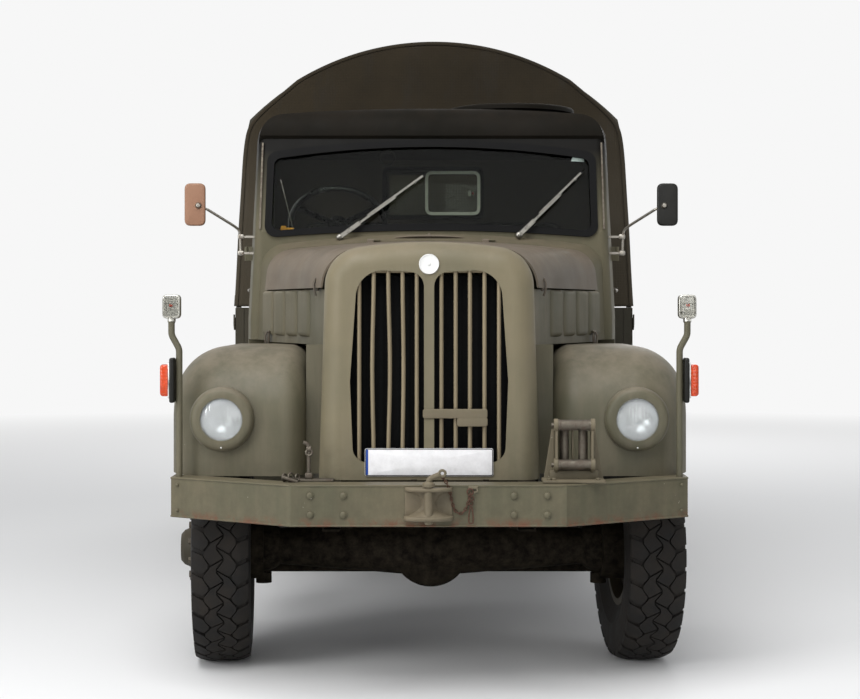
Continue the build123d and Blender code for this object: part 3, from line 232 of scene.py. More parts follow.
def makePiece(name, parts, material, body="truck", sharp=35, uv=None, weld=True):
    # joins the parts into one mesh in metres; poles and seams are welded and faces turned outwards
    points, faces = joined(parts)
    mesh = bpy.data.meshes.new(name)
    mesh.vertices.add(len(points))
    mesh.vertices.foreach_set("co", (points * 0.001 + (0, frontY, 0)).astype(np.float32).ravel())
    mesh.loops.add(faces.size)
    mesh.loops.foreach_set("vertex_index", faces.astype(np.int32).ravel())
    mesh.polygons.add(len(faces))
    mesh.polygons.foreach_set("loop_start", np.arange(0, faces.size, 4, dtype=np.int32))
    mesh.update(calc_edges=True)
    if uv is not None:
        layer = mesh.uv_layers.new(name="cloth")
        layer.data.foreach_set("uv", uv[faces].astype(np.float32).ravel())
    if weld:
        shape = bmesh.new()
        shape.from_mesh(mesh)
        bmesh.ops.remove_doubles(shape, verts=shape.verts, dist=2e-5)
        bmesh.ops.recalc_face_normals(shape, faces=shape.faces)
        shape.to_mesh(mesh)
        shape.free()
    mesh.validate()
    mesh.shade_smooth()
    mesh.set_sharp_from_angle(angle=math.radians(sharp))
    mesh.materials.append(material)
    piece = bpy.data.objects.new(name, mesh)
    bpy.context.scene.collection.objects.link(piece)
    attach(piece, body)
    return piece


# materials

def hexColour(text):
    # sRGB hex to the linear colour that shaders take
    c = np.array([int(text[k:k + 2], 16) / 255 for k in (1, 3, 5)])
    linear = np.where(c <= 0.04045, c / 12.92, ((c + 0.055) / 1.055) ** 2.4)
    return (*linear.tolist(), 1.0)


def addNode(tree, kind, inputs=None, **settings):
    # adds a node, sets its properties, and sets or links its inputs
    node = tree.nodes.new(kind)
    for key, value in settings.items():
        setattr(node, key, value)
    for key, value in (inputs or {}).items():
        if isinstance(value, bpy.types.NodeSocket):
            tree.links.new(value, node.inputs[key])
        else:
            node.inputs[key].default_value = value
    return node


def newMaterial(name, **shader):
    # an empty material with its Principled shader's own values set
    material = bpy.data.materials.new(name)
    material.use_nodes = True
    tree = material.node_tree
    surface = tree.nodes["Principled BSDF"]
    for key, value in shader.items():
        surface.inputs[key.replace("_", " ")].default_value = value
    return material, tree, surface


def objectPlace(tree):
    # where a point is on its piece, in metres
    return addNode(tree, "ShaderNodeTexCoord").outputs["Object"]


def noise(tree, where, size, detail=4.0, roughness=0.55, stretch=(1, 1, 1)):
    # a noise whose grains are about size mm across; stretch lengthens them along an axis
    mapping = addNode(tree, "ShaderNodeMapping",
                      {"Vector": where, "Scale": tuple(1 / s for s in stretch)})
    return addNode(tree, "ShaderNodeTexNoise", {"Vector": mapping.outputs[0], "Scale": 1000 / size,
                   "Detail": detail, "Roughness": roughness}).outputs["Fac"]


def waves(tree, where, pitch, direction):
    # a sine wave every pitch mm; the wave texture runs through 20 radians per unit of scale
    return addNode(tree, "ShaderNodeTexWave", {"Vector": where, "Scale": 1000 * tau / 20 / pitch},
                   bands_direction=direction).outputs["Fac"]


def ramp(tree, value, low, high, toLow=0.0, toHigh=1.0):
    # a value carried from one range to another, and held at the ends
    return addNode(tree, "ShaderNodeMapRange",
                   {0: value, 1: low, 2: high, 3: toLow, 4: toHigh}).outputs[0]


def times(tree, a, b):
    return addNode(tree, "ShaderNodeMath", {0: a, 1: b}, operation="MULTIPLY").outputs[0]


def blendColour(tree, factor, a, b):
    # colour a where the factor is 0, colour b where it is 1
    node = addNode(tree, "ShaderNodeMix", {0: factor, 6: a, 7: b}, data_type="RGBA")
    return node.outputs[2]


def bumpOf(tree, height, millimetres, strength=1.0, normal=None):
    inputs = {"Height": height, "Strength": strength, "Distance": millimetres / 1000}
    if normal:
        inputs["Normal"] = normal
    return addNode(tree, "ShaderNodeBump", inputs).outputs[0]


def enamel(name, base, worn, dust, rough=0.55, chips=0.0, streaks=0.5, dustTop=0.5, orangePeel=0.12,
           fadeAndShade=None, rustBelow=None, gloss=0.22, inside=None):
    # sprayed alkyd enamel on sheet steel: matt, faded in patches, rain-streaked, with dust on what
    # faces up and small chips down to the light undercoat where chips is over 0; the argument for
    # painted shade is (low z, high z, colour) and darkens the colour upwards, rustBelow is the
    # height of a scraped lower edge, and inside is (half width, y, colour) of a room that is
    # painted otherwise, all in metres
    material, tree, surface = newMaterial(name, Metallic=0.0, IOR=1.5, Specular_IOR_Level=gloss)
    where = objectPlace(tree)
    patches = ramp(tree, noise(tree, where, 520, 5, 0.6), 0.35, 0.68)
    colour = blendColour(tree, patches, hexColour(base), hexColour(worn))
    runs = ramp(tree, noise(tree, where, 60, 4, 0.6, (1, 1, 9)), 0.42, 0.75, 0, streaks)
    colour = blendColour(tree, times(tree, runs, 0.45), colour, hexColour(dust))
    normal = addNode(tree, "ShaderNodeNewGeometry").outputs["Normal"]
    upward = addNode(tree, "ShaderNodeSeparateXYZ", {0: normal}).outputs[2]
    settled = times(tree, ramp(tree, upward, 0.25, 0.95),
                    ramp(tree, noise(tree, where, 90, 6, 0.65), 0.3, 0.62))
    colour = blendColour(tree, times(tree, settled, dustTop), colour, hexColour(dust))
    height = addNode(tree, "ShaderNodeSeparateXYZ", {0: where}).outputs[2]
    splash = times(tree, ramp(tree, height, 1.15, 0.55),
                   ramp(tree, noise(tree, where, 45, 6, 0.7), 0.35, 0.7))
    colour = blendColour(tree, times(tree, splash, 0.6), colour, hexColour("#3b352b"))
    if inside:
        across, back, _ = addNode(tree, "ShaderNodeSeparateXYZ", {0: where}).outputs
        width = addNode(tree, "ShaderNodeMath", {0: across}, operation="ABSOLUTE").outputs[0]
        room = times(tree, ramp(tree, width, inside[0], inside[0] - 0.004),
                     ramp(tree, back, inside[1], inside[1] - 0.004))
        colour = blendColour(tree, room, colour, hexColour(inside[2]))
    # painted shade: the colour darkens upwards between the two heights
    if fadeAndShade:
        colour = blendColour(tree, ramp(tree, height, fadeAndShade[0], fadeAndShade[1]), colour, hexColour(fadeAndShade[2]))
    if rustBelow:
        scraped = times(tree, ramp(tree, height, rustBelow + 0.03, rustBelow),
                        ramp(tree, noise(tree, where, 55, 6, 0.7), 0.45, 0.62))
        colour = blendColour(tree, scraped, colour, hexColour("#5d4030"))
    if chips:
        spots = ramp(tree, noise(tree, where, 34, 3, 0.7), 0.775 - 0.03 * chips,
                     0.79 - 0.03 * chips)
        colour = blendColour(tree, times(tree, spots, 0.75), colour, hexColour("#a39d8f"))
    tree.links.new(colour, surface.inputs["Base Color"])
    shine = ramp(tree, noise(tree, where, 160, 5, 0.6), 0.3, 0.7, rough - 0.07, rough + 0.1)
    tree.links.new(shine, surface.inputs["Roughness"])
    dents = bumpOf(tree, noise(tree, where, 330, 2, 0.4), 3.0, 0.5)
    peel = bumpOf(tree, noise(tree, where, 5, 2, 0.5), 0.12, orangePeel, dents)
    tree.links.new(peel, surface.inputs["Normal"])
    return material


def metal(name, colour, rough, tarnish="#4a3a2c", amount=0.3, grain=18):
    # bare or plated metal: full metallic, with tarnish or rust in blotches that are rougher and not
    # metallic
    material, tree, surface = newMaterial(name)
    where = objectPlace(tree)
    spots = ramp(tree, noise(tree, where, grain, 6, 0.7), 0.62 - 0.22 * amount, 0.72 - 0.1 * amount)
    tree.links.new(blendColour(tree, spots, hexColour(colour), hexColour(tarnish)),
                   surface.inputs["Base Color"])
    tree.links.new(ramp(tree, spots, 0, 1, 1.0, 0.1), surface.inputs["Metallic"])
    tree.links.new(ramp(tree, spots, 0, 1, rough, 0.85), surface.inputs["Roughness"])
    tree.links.new(bumpOf(tree, noise(tree, where, 4, 4, 0.6), 0.25, 0.35),
                   surface.inputs["Normal"])
    return material


def rubber(name, base, grey, rough=0.75, grain=60, gloss=0.2):
    # vulcanised rubber: near black, greyed and browned by dust in patches, with a fine moulded
    # grain
    material, tree, surface = newMaterial(name, IOR=1.52, Specular_IOR_Level=gloss)
    where = objectPlace(tree)
    dusty = ramp(tree, noise(tree, where, grain, 6, 0.68), 0.36, 0.74)
    tree.links.new(blendColour(tree, dusty, hexColour(base), hexColour(grey)),
                   surface.inputs["Base Color"])
    tree.links.new(ramp(tree, dusty, 0, 1, rough - 0.12, rough + 0.12), surface.inputs["Roughness"])
    tree.links.new(bumpOf(tree, noise(tree, where, 6, 4, 0.6), 0.3, 0.5), surface.inputs["Normal"])
    return material


def clearGlass(name, tint="#f4f8f6", rough=0.0, flutes=0.0, ior=1.5, clear=1.0):
    # clear glass; a low ior keeps the sky's reflection weak, and pressed lens glass gets upright
    # flutes as bump, one every flutes mm: about 4 mm in a real lens, drawn 14 mm apart so that they
    # show
    material, tree, surface = newMaterial(name, IOR=ior, Transmission_Weight=clear, Roughness=rough)
    surface.inputs["Base Color"].default_value = hexColour(tint)
    if flutes:
        where = objectPlace(tree)
        tree.links.new(bumpOf(tree, waves(tree, where, flutes, "X"), 0.7, 0.45),
                       surface.inputs["Normal"])
    return material


def paneGlass(name, tint, cover):
    # thin toughened sheet glass under a film of dust: light passes straight, but for a small part
    material, _, surface = newMaterial(name, IOR=1.5, Roughness=0.03, Alpha=cover)
    surface.inputs["Base Color"].default_value = hexColour(tint)
    return material


def lampPlastic(name, colour):
    # moulded acrylic lamp lens: dyed, glossy, with light passing some way in, and level prism ribs,
    # about 3 mm apart in a real lens and drawn 14 mm apart so that they show
    material, tree, surface = newMaterial(name, IOR=1.49, Transmission_Weight=0.35, Roughness=0.16,
                                          Subsurface_Weight=0.25)
    surface.inputs["Subsurface Radius"].default_value = (0.02, 0.006, 0.003)
    where = objectPlace(tree)
    shade = ramp(tree, noise(tree, where, 30, 3, 0.5), 0.3, 0.7)
    deep = tuple(0.7 * c for c in hexColour(colour)[:3]) + (1.0,)
    tree.links.new(blendColour(tree, shade, deep, hexColour(colour)), surface.inputs["Base Color"])
    tree.links.new(bumpOf(tree, waves(tree, where, 14.28, "Z"), 0.8, 0.6), surface.inputs["Normal"])
    return material


def duck(name, base, faded, stain, thread=15.791, dust=None):
    # proofed cotton duck: a plain weave 1 mm apart in the real cloth, drawn thread mm apart so that
    # it shows (16 on the cover, 12 on the seats); matt with a slight waxy sheen, faded and
    # water-stained; its weave follows the cloth's own UV in metres
    material, tree, surface = newMaterial(name, IOR=1.45, Specular_IOR_Level=0.2, Sheen_Weight=0.05,
                                          Sheen_Roughness=0.5)
    where = objectPlace(tree)
    cloth = addNode(tree, "ShaderNodeUVMap", uv_map="cloth").outputs[0]
    fadeAndShade = ramp(tree, noise(tree, where, 700, 6, 0.62), 0.33, 0.7)
    colour = blendColour(tree, fadeAndShade, hexColour(base), hexColour(faded))
    marks = ramp(tree, noise(tree, where, 150, 6, 0.72, (1, 1, 3)), 0.5, 0.72)
    colour = blendColour(tree, times(tree, marks, 0.55), colour, hexColour(stain))
    warp, weft = (waves(tree, cloth, thread, direction) for direction in ("X", "Y"))
    weave = addNode(tree, "ShaderNodeMath", {0: warp, 1: weft}, operation="ADD").outputs[0]
    colour = blendColour(tree, ramp(tree, weave, 0.3, 1.6, 0, 0.25), colour, hexColour(faded))
    if dust:
        # road dust lies on the sides and thins out upwards, gone at 2.75 m above the ground
        height = addNode(tree, "ShaderNodeSeparateXYZ", {0: where}).outputs["Z"]
        colour = blendColour(tree, ramp(tree, height, 2.75, 2.15, 0.0, 0.5), colour,
                             hexColour(dust))
    tree.links.new(colour, surface.inputs["Base Color"])
    tree.links.new(ramp(tree, marks, 0, 1, 0.86, 0.68), surface.inputs["Roughness"])
    creases = bumpOf(tree, noise(tree, where, 210, 5, 0.55, (1, 1, 2)), 9, 0.55)
    tree.links.new(bumpOf(tree, weave, 0.5, 0.5, creases), surface.inputs["Normal"])
    return material


def planking(name, base, worn):
    # softwood planks under olive paint: grain along the plank shows as fine ridges and where the
    # paint is worn
    material, tree, surface = newMaterial(name, IOR=1.5)
    where = objectPlace(tree)
    grain = noise(tree, where, 7, 5, 0.6, (1, 30, 1))
    wear = times(tree, ramp(tree, grain, 0.5, 0.7),
                 ramp(tree, noise(tree, where, 240, 5, 0.65), 0.45, 0.7))
    tree.links.new(blendColour(tree, wear, hexColour(base), hexColour(worn)),
                   surface.inputs["Base Color"])
    tree.links.new(ramp(tree, wear, 0, 1, 0.62, 0.85), surface.inputs["Roughness"])
    tree.links.new(bumpOf(tree, grain, 0.6, 0.5), surface.inputs["Normal"])
    return material


def finned(name, base, fin=35.529, tube=19.739):
    # a radiator core: black-painted fins and tubes, 3 and 10 mm apart in the real core and drawn 36
    # and 20 mm apart so that they show
    material, tree, surface = newMaterial(name, IOR=1.5, Roughness=0.8, Specular_IOR_Level=0.08)
    where = objectPlace(tree)
    fins, rows = waves(tree, where, fin, "X"), waves(tree, where, tube, "Z")
    # painted shade: the gaps between the fins are darker than the fins
    shade = ramp(tree, fins, 0.2, 0.9, 0.0, 0.8)
    tree.links.new(blendColour(tree, shade, hexColour("#050505"), hexColour(base)),
                   surface.inputs["Base Color"])
    tree.links.new(bumpOf(tree, rows, 1.0, 0.4, bumpOf(tree, fins, 4, 0.8)),
                   surface.inputs["Normal"])
    return material


print("truck: materials")
finish = {
    "noseOlive": enamel("noseOliveEnamel", "#625d4b", "#6f6752", "#7e7360", 0.5, 0.5, 0.6, 0.5),
    "bonnetOlive": enamel("bonnetOliveEnamel", "#59534a", "#675d50", "#716659", 0.5, 0.7, 0.3, 0.7,
                          gloss=0.15),
    "bodyOlive": enamel("bodyOliveEnamel", "#504e3f", "#5c5746", "#7f7566", 0.48, 0.8, 0.5, 0.65),
    "cabRearOlive": enamel("cabRearEnamel", "#504e3f", "#5c5746", "#74695a", 0.5, 0.5, 0.5, 0.6,
                           inside=(0.872, frontY + 2.694, "#332d24"), gloss=0.16),
    # painted shade: the upper pillars and header darken upwards into near black under the roof
    "cabFrontOlive": enamel("cabFrontEnamelPaintedShade", "#504e3f", "#5c5746", "#6d6253", 0.5, 0.8, 0.5, 0.5,
                            fadeAndShade=(2.02, 2.36, "#0b0a08"), gloss=0.1),
    "bumperOlive": enamel("bumperOliveEnamel", "#514f3e", "#5c5644", "#766c58", 0.5, 1.6, 0.6, 0.5,
                          0.3, rustBelow=0.745),
    "roofOlive": enamel("roofDarkEnamel", "#0f0e0a", "#16130f", "#261f17", 0.6, 0.2, 0.2, 0.35,
                        gloss=0.06),
    "chassisOlive": enamel("chassisSatinEnamel", "#2b2920", "#373328", "#453d30", 0.6, 0.4, 0.4,
                           0.7),
    "underside": enamel("undersideBitumenPaint", "#0c0b09", "#14110e", "#1f1a15", 0.75, 0.0, 0.3,
                        0.6, gloss=0.03),
    "grilleOlive": enamel("grilleBarEnamel", "#746a55", "#80745e", "#8a7d66", 0.5, 0.6, 0.6, 0.3),
    "castingOlive": enamel("castingEnamel", "#5d5747", "#6a604e", "#7f7460", 0.55, 1.9, 0.4, 0.5,
                           0.6),
    "blackEnamel": enamel("blackGlossEnamel", "#0f0f0c", "#161613", "#2c2923", 0.4, 0.2, 0.3, 0.4),
    "mirrorTan": enamel("mirrorTanEnamel", "#7d5b48", "#8a6853", "#9a7a64", 0.45, 0.4, 0.3, 0.3),
    "plateWhite": enamel("plateWhiteEnamel", "#dedddf", "#e2e2e3", "#d4d2cd", 0.35, 0.0, 0.05, 0.05,
                         0.0),
    "plateBlue": enamel("plateBlueEnamel", "#1d3f8f", "#27509c", "#5b6a86", 0.35, 0.0, 0.1, 0.1,
                        0.0),
    "badgeWhite": enamel("badgeEnamel", "#d2d2d0", "#dededd", "#9a958a", 0.35, 0.4, 0.2, 0.1),
    "yellowPlastic": enamel("yellowPlasticPaint", "#d08a1c", "#dd9a2c", "#9a7a3a", 0.45),
    "steel": metal("zincPlatedSteel", "#8f8b83", 0.38, "#5b4a3a", 0.35),
    "wornSteel": metal("wornForgedSteel", "#5f5a51", 0.5, "#4d4036", 0.75),
    "rust": metal("rustyChainIron", "#41342b", 0.6, "#54382a", 1.2, 10),
    "chrome": metal("chromePlate", "#c9c9c6", 0.1, "#6d6a63", 0.0),
    "wiperMetal": metal("brushedWiperSteel", "#77756f", 0.32, "#4a463f", 0.4),
    "labelGrey": enamel("labelPaint", "#93a39d", "#a3b1ab", "#7c8782", 0.4, 0.0, 0.1, 0.1, 0.0),
    "aluminium": metal("rolledAluminium", "#b3b2ab", 0.34, "#77746b", 0.25),
    "silvering": metal("lampSilvering", "#c2c4c6", 0.22, "#a9a9a6", 0.0),
    "tyreRubber": rubber("tyreTreadRubber", "#161514", "#2a2622", 0.8, 90),
    "trimRubber": rubber("windowRubber", "#070707", "#0e0e0f", 0.6, 120, gloss=0.08),
    "flapRubber": rubber("mudFlapRubber", "#1a1917", "#3a3329", 0.85, 150),
    "gripPlastic": rubber("blackGripPlastic", "#0b0b0c", "#141415", 0.3, 200, gloss=0.8),
    "windowGlass": clearGlass("windowGlass", "#c4cac2", ior=1.22),
    "doorGlass": paneGlass("toughenedDoorGlass", "#0d0e0d", 0.08),
    "lensGlass": clearGlass("flutedLensGlass", "#f4f7f7", 0.16, 13.817, clear=0.8),
    "prismGlass": clearGlass("clearPrismPlastic", "#c6c6c1", 0.06, 13.817),
    "orangeLens": lampPlastic("orangeLampPlastic", "#e2501c"),
    "redLens": lampPlastic("redLampPlastic", "#b3160f"),
    "canvas": duck("proofedBrownDuck", "#1d180f", "#2b2418", "#14110b", dust="#4c463b"),
    "canvasEdge": duck("proofedDuckHem", "#1e1911", "#2c261b", "#15120c", dust="#4c463b"),
    "seatCloth": duck("seatCover", "#1b1a17", "#26241f", "#131210", 11.843),
    "planks": planking("paintedPlanks", "#4f4c3f", "#6f624b"),
    "floorPlanks": planking("wornFloorPlanks", "#4a4236", "#7a6a50"),
    "radiatorCore": finned("radiatorCoreFins", "#070808"),
    "lining": enamel("cabLiningPaint", "#1c1a15", "#242019", "#2c271f", 0.6, 0.0, 0.1, 0.3,
                     gloss=0.15),
}

# CAD nodes that keep their shape, by finish
nodeFinish = {
    "noseOlive": ("nose_shell",),
    "bonnetOlive": ("bonnet",),
    "bodyOlive": ("fenders", "side_panels", "door_left", "door_right", "marker_posts"),
    "cabFrontOlive": ("cab_front",),
    "bumperOlive": ("front_bumper",),
    "roofOlive": ("cab_roof", "hatch_lid"),
    "lining": ("cab_floor",),
    "cabRearOlive": ("cab_rear", "cab_fittings"),
    "chassisOlive": ("bed_frame", "canvas_bows", "cab_steps", "tanks_and_muffler", "rear_tow_jaw",
                     "rim_front_left", "rim_front_right", "rims_rear_left", "rims_rear_right"),
    "underside": ("frame_rails", "cross_members", "front_axle", "rear_axle", "tie_rod",
                  "leaf_springs", "propeller_shafts", "engine_and_gearbox", "knuckle_left",
                  "knuckle_right"),
    "windowGlass": ("fixed_glass",),
    "doorGlass": ("door_glass_left", "door_glass_right"),
    "trimRubber": ("window_rubbers",),
    "flapRubber": ("mud_flaps",),
    "floorPlanks": ("bed_floor",),
    "planks": ("tailgate", "side_board_front_left", "side_board_front_right",
               "side_board_rear_left", "side_board_rear_right"),
    "radiatorCore": ("radiator",),
    "castingOlive": ("bumper_fittings",),
    "grilleOlive": ("grille_bars",),
    "plateWhite": ("front_plates",),
    "tyreRubber": ("spare_wheel", "tyre_front_left", "tyre_front_right", "tyres_rear_left",
                   "tyres_rear_right"),
    "blackEnamel": ("mirrors", "lamps"),
    "gripPlastic": ("steering_wheel",),
    "canvas": ("canvas_cover",),
    "seatCloth": ("seat_cushions",),
}
for finishName, members in nodeFinish.items():
    for member in members:
        if member in nodes:
            mesh = nodes[member].data
            mesh.materials.clear()
            mesh.materials.append(finish[finishName])


# wheels

tyre = {"radius": 509.0, "rows": 32, "base": 494.0, "zigzag": 19.0, "column": 60.0, "groove": 8.0,
        "lugGroove": 22.0, "sweep": 0.24, "kerb": 121.0, "lugFoot": 470.0}


def onTyre(x, radius, turn):
    # (across the tread, radius, angle) to points about the X axis
    return np.stack(np.broadcast_arrays(x, radius * np.cos(turn), radius * np.sin(turn)), -1)


def treadTop(x):
    # flat over the middle columns, then falling as a parabola to the kerb
    return tyre["radius"] - 13 * (np.clip(np.abs(x) - 60, 0, None) / 52) ** 2


def zig(s):
    # a triangle wave: -1 at whole pitches, +1 between them
    return 1 - 2 * np.abs(2 * (s % 1) - 1)


def treadColumn(side, outer):
    # one column of blocks: a grid per block whose border is lowered to the base of the tread
    u = np.array([-0.03, 0, 0.35, 0.7, 1, 1.03])[None, :, None]
    v = np.array([-0.02, 0, 0.2, 0.4, 0.6, 0.8, 1, 1.02])[None, None, :]
    k = np.arange(tyre["rows"])[:, None, None]
    pitch = tau * tyre["radius"] / tyre["rows"]
    gap = (tyre["lugGroove"] if outer else tyre["groove"]) / 2 / pitch
    shift = 0.5 if (side > 0) == outer else 0.0
    s = k + shift + gap + (1 - 2 * gap) * v
    wave = side * tyre["zigzag"] * zig(s)
    inner = (tyre["column"] if outer else 0.0) + wave + tyre["groove"] / 2
    rim = tyre["kerb"] if outer else tyre["column"] + wave - tyre["groove"] / 2
    x = inner + (rim - inner) * np.clip(u, 0, 1) + 0 * s
    x = x + np.where(u < 0, -1.0, np.where(u > 1, 1.0, 0.0))
    lean = tyre["sweep"] * (np.clip((x - tyre["column"]) / 56, 0, 1.2) - 0.6)
    sweepOut = lean if outer else -0.3 * (u - 0.5)
    low = (u < 0) | (u > 1) | (v < 0) | (v > 1)
    base = np.where((u > 1) & outer, tyre["lugFoot"], np.minimum(tyre["base"], treadTop(x) - 9))
    radius = np.where(low, base, treadTop(x))
    points = onTyre(side * x, radius, (s - sweepOut) * tau / tyre["rows"])
    one = grid(points[0])
    starts = (np.arange(tyre["rows"]) * points[0].size // 3)[:, None, None]
    return points.reshape(-1, 3), (one[1][None] + starts).reshape(-1, 4)


def tyreParts():
    # the carcass is one turned outline with two mould rings on each wall; the tread stands on it
    half = [(84, 254.3), (85, 262), (92, 272), (96, 290), (110, 318), (121, 345), (124.5, 350),
            (124, 356), (127, 372), (129, 400), (128, 424), (127, 440), (125, 446), (124.5, 455),
            (120, 474), (112, 487), (98, tyre["base"] - 1), (60, tyre["base"]), (20, tyre["base"])]
    outline = [(-a, r) for a, r in half] + [(a, r) for a, r in reversed(half)]
    carcass = lathe(outline, 96, closeProfile=True)
    return [carcass] + [treadColumn(side, outer) for side in (-1, 1) for outer in (False, True)]


def nutCircle(radius, count, along, size=15, height=15):
    # wheel nuts on their studs, round the X axis and facing +X
    stud = joined([turned(hexNut(size, height), z=90),
                   turned(bolt(size * 0.5, height * 0.7), z=180)])
    parts = []
    for turn in np.arange(count) * 360 / count:
        parts.append(turned(moved(stud, x=along, z=radius), x=turn))
    return parts


axle = {"frontD": 1100.0, "rearD": 5300.0, "z": 509.0, "frontX": 944.0, "rearX": 870.0,
        "twin": 146.0, "kingpin": 765.0, "steer": 5.0, "spareD": 2921.0, "spareZ": 1480.0}
# faces: out from the wheel's middle
wheelNut = {"circle": 137, "count": 10, "frontFace": 140, "rearFace": 14}


def atFrontWheel(parts, side):
    # parts turned towards +X are put on a front wheel, then swung about the kingpin
    placed = []
    for part in onSide(parts, side):
        part = moved(part, x=side * (axle["frontX"] - axle["kingpin"]))
        placed.append(moved(turned(part, z=axle["steer"]), side * axle["kingpin"], axle["frontD"],
                            axle["z"]))
    return placed


def addWheels():
    carcass = tyreParts()
    nuts = nutCircle(wheelNut["circle"], wheelNut["count"], wheelNut["frontFace"])
    for name, side in (("left", 1), ("right", -1)):
        front = makePiece(f"tyreFront{name.title()}", atFrontWheel(carcass, side),
                          finish["tyreRubber"], f"wheel_front_{name}", sharp=30)
        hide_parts(f"tyre_front_{name}")
        makePiece(f"wheelNutsFront{name.title()}", atFrontWheel(nuts, side), finish["wornSteel"],
                  f"wheel_front_{name}")
        twins = onSide([moved(p, x=offset) for offset in (-axle["twin"], axle["twin"])
                        for p in carcass], side)
        rearNuts = onSide(nutCircle(wheelNut["circle"], wheelNut["count"], wheelNut["rearFace"]),
                          side)
        place = (side * axle["rearX"], axle["rearD"], axle["z"])
        rear = makePiece(f"tyresRear{name.title()}", [moved(p, *place) for p in twins],
                         finish["tyreRubber"], f"wheels_rear_{name}", sharp=30)
        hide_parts(f"tyres_rear_{name}")
        makePiece(f"wheelNutsRear{name.title()}", [moved(p, *place) for p in rearNuts],
                  finish["wornSteel"], f"wheels_rear_{name}")
    barrel = [(-95, 238), (-95, 268), (-88, 268), (-84, 254), (84, 254), (88, 268), (95, 268),
              (95, 238)]
    disc = [(30, 238.5), (44, 238.5), (100, 205), (138, 160), (146, 100), (132, 100), (124, 158),
            (90, 198)]
    spareAt = (0, axle["spareD"], axle["spareZ"])
    rim = [moved(turned(lathe(p, 64, True), z=90), *spareAt) for p in (barrel, disc)]
    spare = makePiece("spareTyre", [moved(turned(p, z=90), *spareAt) for p in carcass],
                      finish["tyreRubber"], sharp=30)
    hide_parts("spare_wheel")
    makePiece("spareRim", rim, finish["chassisOlive"])


print("truck: wheels")
addWheels()


# lamps

headlamp = {"x": 860.0, "z": 1137.0, "lens": 86.0, "face": 330.0, "crown": 14.0, "pod": 131.0}


def facingForwards(profile, steps=48, closeProfile=False):
    # (distance behind the bumper, radius) pairs turned about a fore-and-aft axis
    return turned(lathe(profile, steps, closeProfile), z=90)


def addHeadlamps():
    r, face = headlamp["lens"], headlamp["face"]
    at = (headlamp["x"], 0, headlamp["z"])
    t = np.linspace(0, 1, 9)
    dome = [(face - headlamp["crown"] * (1 - a * a), r * a) for a in t]
    inside = [(d + 4, max(q - 1, 0)) for d, q in reversed(dome)]
    lens = facingForwards(dome + inside)
    bowl = [(face + 6 + 52 * (1 - a * a), (r - 3) * a) for a in t[::-1]]
    back = [(d + 3, q) for d, q in reversed(bowl)]
    bulb = facingForwards([(face + 22, 0), (face + 24, 8), (face + 34, 10), (face + 42, 7),
                           (face + 62, 7)], 16)
    roll = [(face + 12, 90), (face - 3, 91), (face - 9, 97), (face - 12, 106), (face - 10, 116),
            (face - 3, 126), (face + 8, headlamp["pod"]), (face + 14, headlamp["pod"])]
    ring = facingForwards([(face + 10, r + 0.5), (face - 1, r), (face - 4, r + 1.5),
                           (face - 3, r + 4), (face + 8, r + 4)], 48, True)
    glass = makePiece("headlampGlasses", bothSides([moved(lens, *at)]), finish["lensGlass"])
    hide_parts("lamps")
    makePiece("headlampReflectors", bothSides([moved(facingForwards(bowl + back), *at)]),
              finish["silvering"])
    makePiece("headlampBulbs", bothSides([moved(bulb, *at)]), finish["prismGlass"])
    makePiece("headlampRolls", bothSides([moved(facingForwards(roll, 64), *at)]),
              finish["bodyOlive"])
    screw = moved(bolt(4, 3), headlamp["x"], face - 8, headlamp["z"] - 116)
    makePiece("headlampRings", bothSides([moved(ring, *at), screw]), finish["chrome"])


markerLamp = {"x": 1068.0, "d": 343.0, "z": 1604.0}
sideLamp = {"x": 1050.0, "d": 328.0, "z": 1300.0}
tailLamp = {"x": 760.0, "d": 7214.0, "z": 1015.0}


def upright(width, height, depth, edge):
    # a rounded block standing on its back, its face forwards
    outline = roundedRect(width, height, min(width, height) * 0.22, 5)
    return turned(slab(outline, -depth / 2, depth / 2, edge, 4), x=90)


def addSmallLamps():
    m = markerLamp
    shell = moved(upright(75, 100, 40, 7), m["x"], m["d"] + 8, m["z"])
    foot = rod([(m["x"], m["d"], 1540), (m["x"], m["d"] + 4, 1556)], 17, sides=12)
    makePiece("markerLampShells", bothSides([shell, foot]), finish["aluminium"])
    lens = moved(upright(64, 88, 22, 8), m["x"], m["d"] - 20, m["z"])
    bar = moved(upright(50, 4, 4, 1), m["x"], m["d"] - 31, m["z"] + 12)
    makePiece("markerLampLenses", bothSides([lens, bar]), finish["prismGlass"])
    bulbs = moved(upright(14, 11, 6, 2), m["x"], m["d"] - 12, m["z"] + 4)
    makePiece("markerLampBulbs", bothSides([bulbs]), finish["orangeLens"])
    s = sideLamp
    plan = roundedRect(22, 62, 9, 5)
    base = moved(slab(plan, -93, 93, 9, 4), s["x"] + 11.3, s["d"], s["z"])
    rim = moved(slab(roundedRect(8, 58, 4, 4), -74, 74, 4, 3), s["x"] + 24, s["d"], s["z"])
    makePiece("sideLampBases", bothSides([base]), finish["blackEnamel"])
    makePiece("sideLampRims", bothSides([rim]), finish["chrome"])
    glow = moved(slab(roundedRect(38, 54, 12, 6), -66, 66, 13, 5), s["x"] + 42, s["d"], s["z"])
    makePiece("sideLampLenses", bothSides([glow]), finish["orangeLens"])
    q = tailLamp
    box = moved(upright(120, 90, 34, 8), q["x"], q["d"] - 6, q["z"])
    makePiece("tailLampShells", bothSides([box]), finish["blackEnamel"])
    red = moved(upright(62, 76, 16, 6), q["x"] - 24, q["d"] + 14, q["z"])
    amber = moved(upright(42, 76, 16, 6), q["x"] + 34, q["d"] + 14, q["z"])
    makePiece("tailLampRed", bothSides([red]), finish["redLens"])
    makePiece("tailLampAmber", bothSides([amber]), finish["orangeLens"])


print("truck: lamps")
addHeadlamps()
addSmallLamps()


# bumper: bolts, towing jaw, cable guide, parking lever

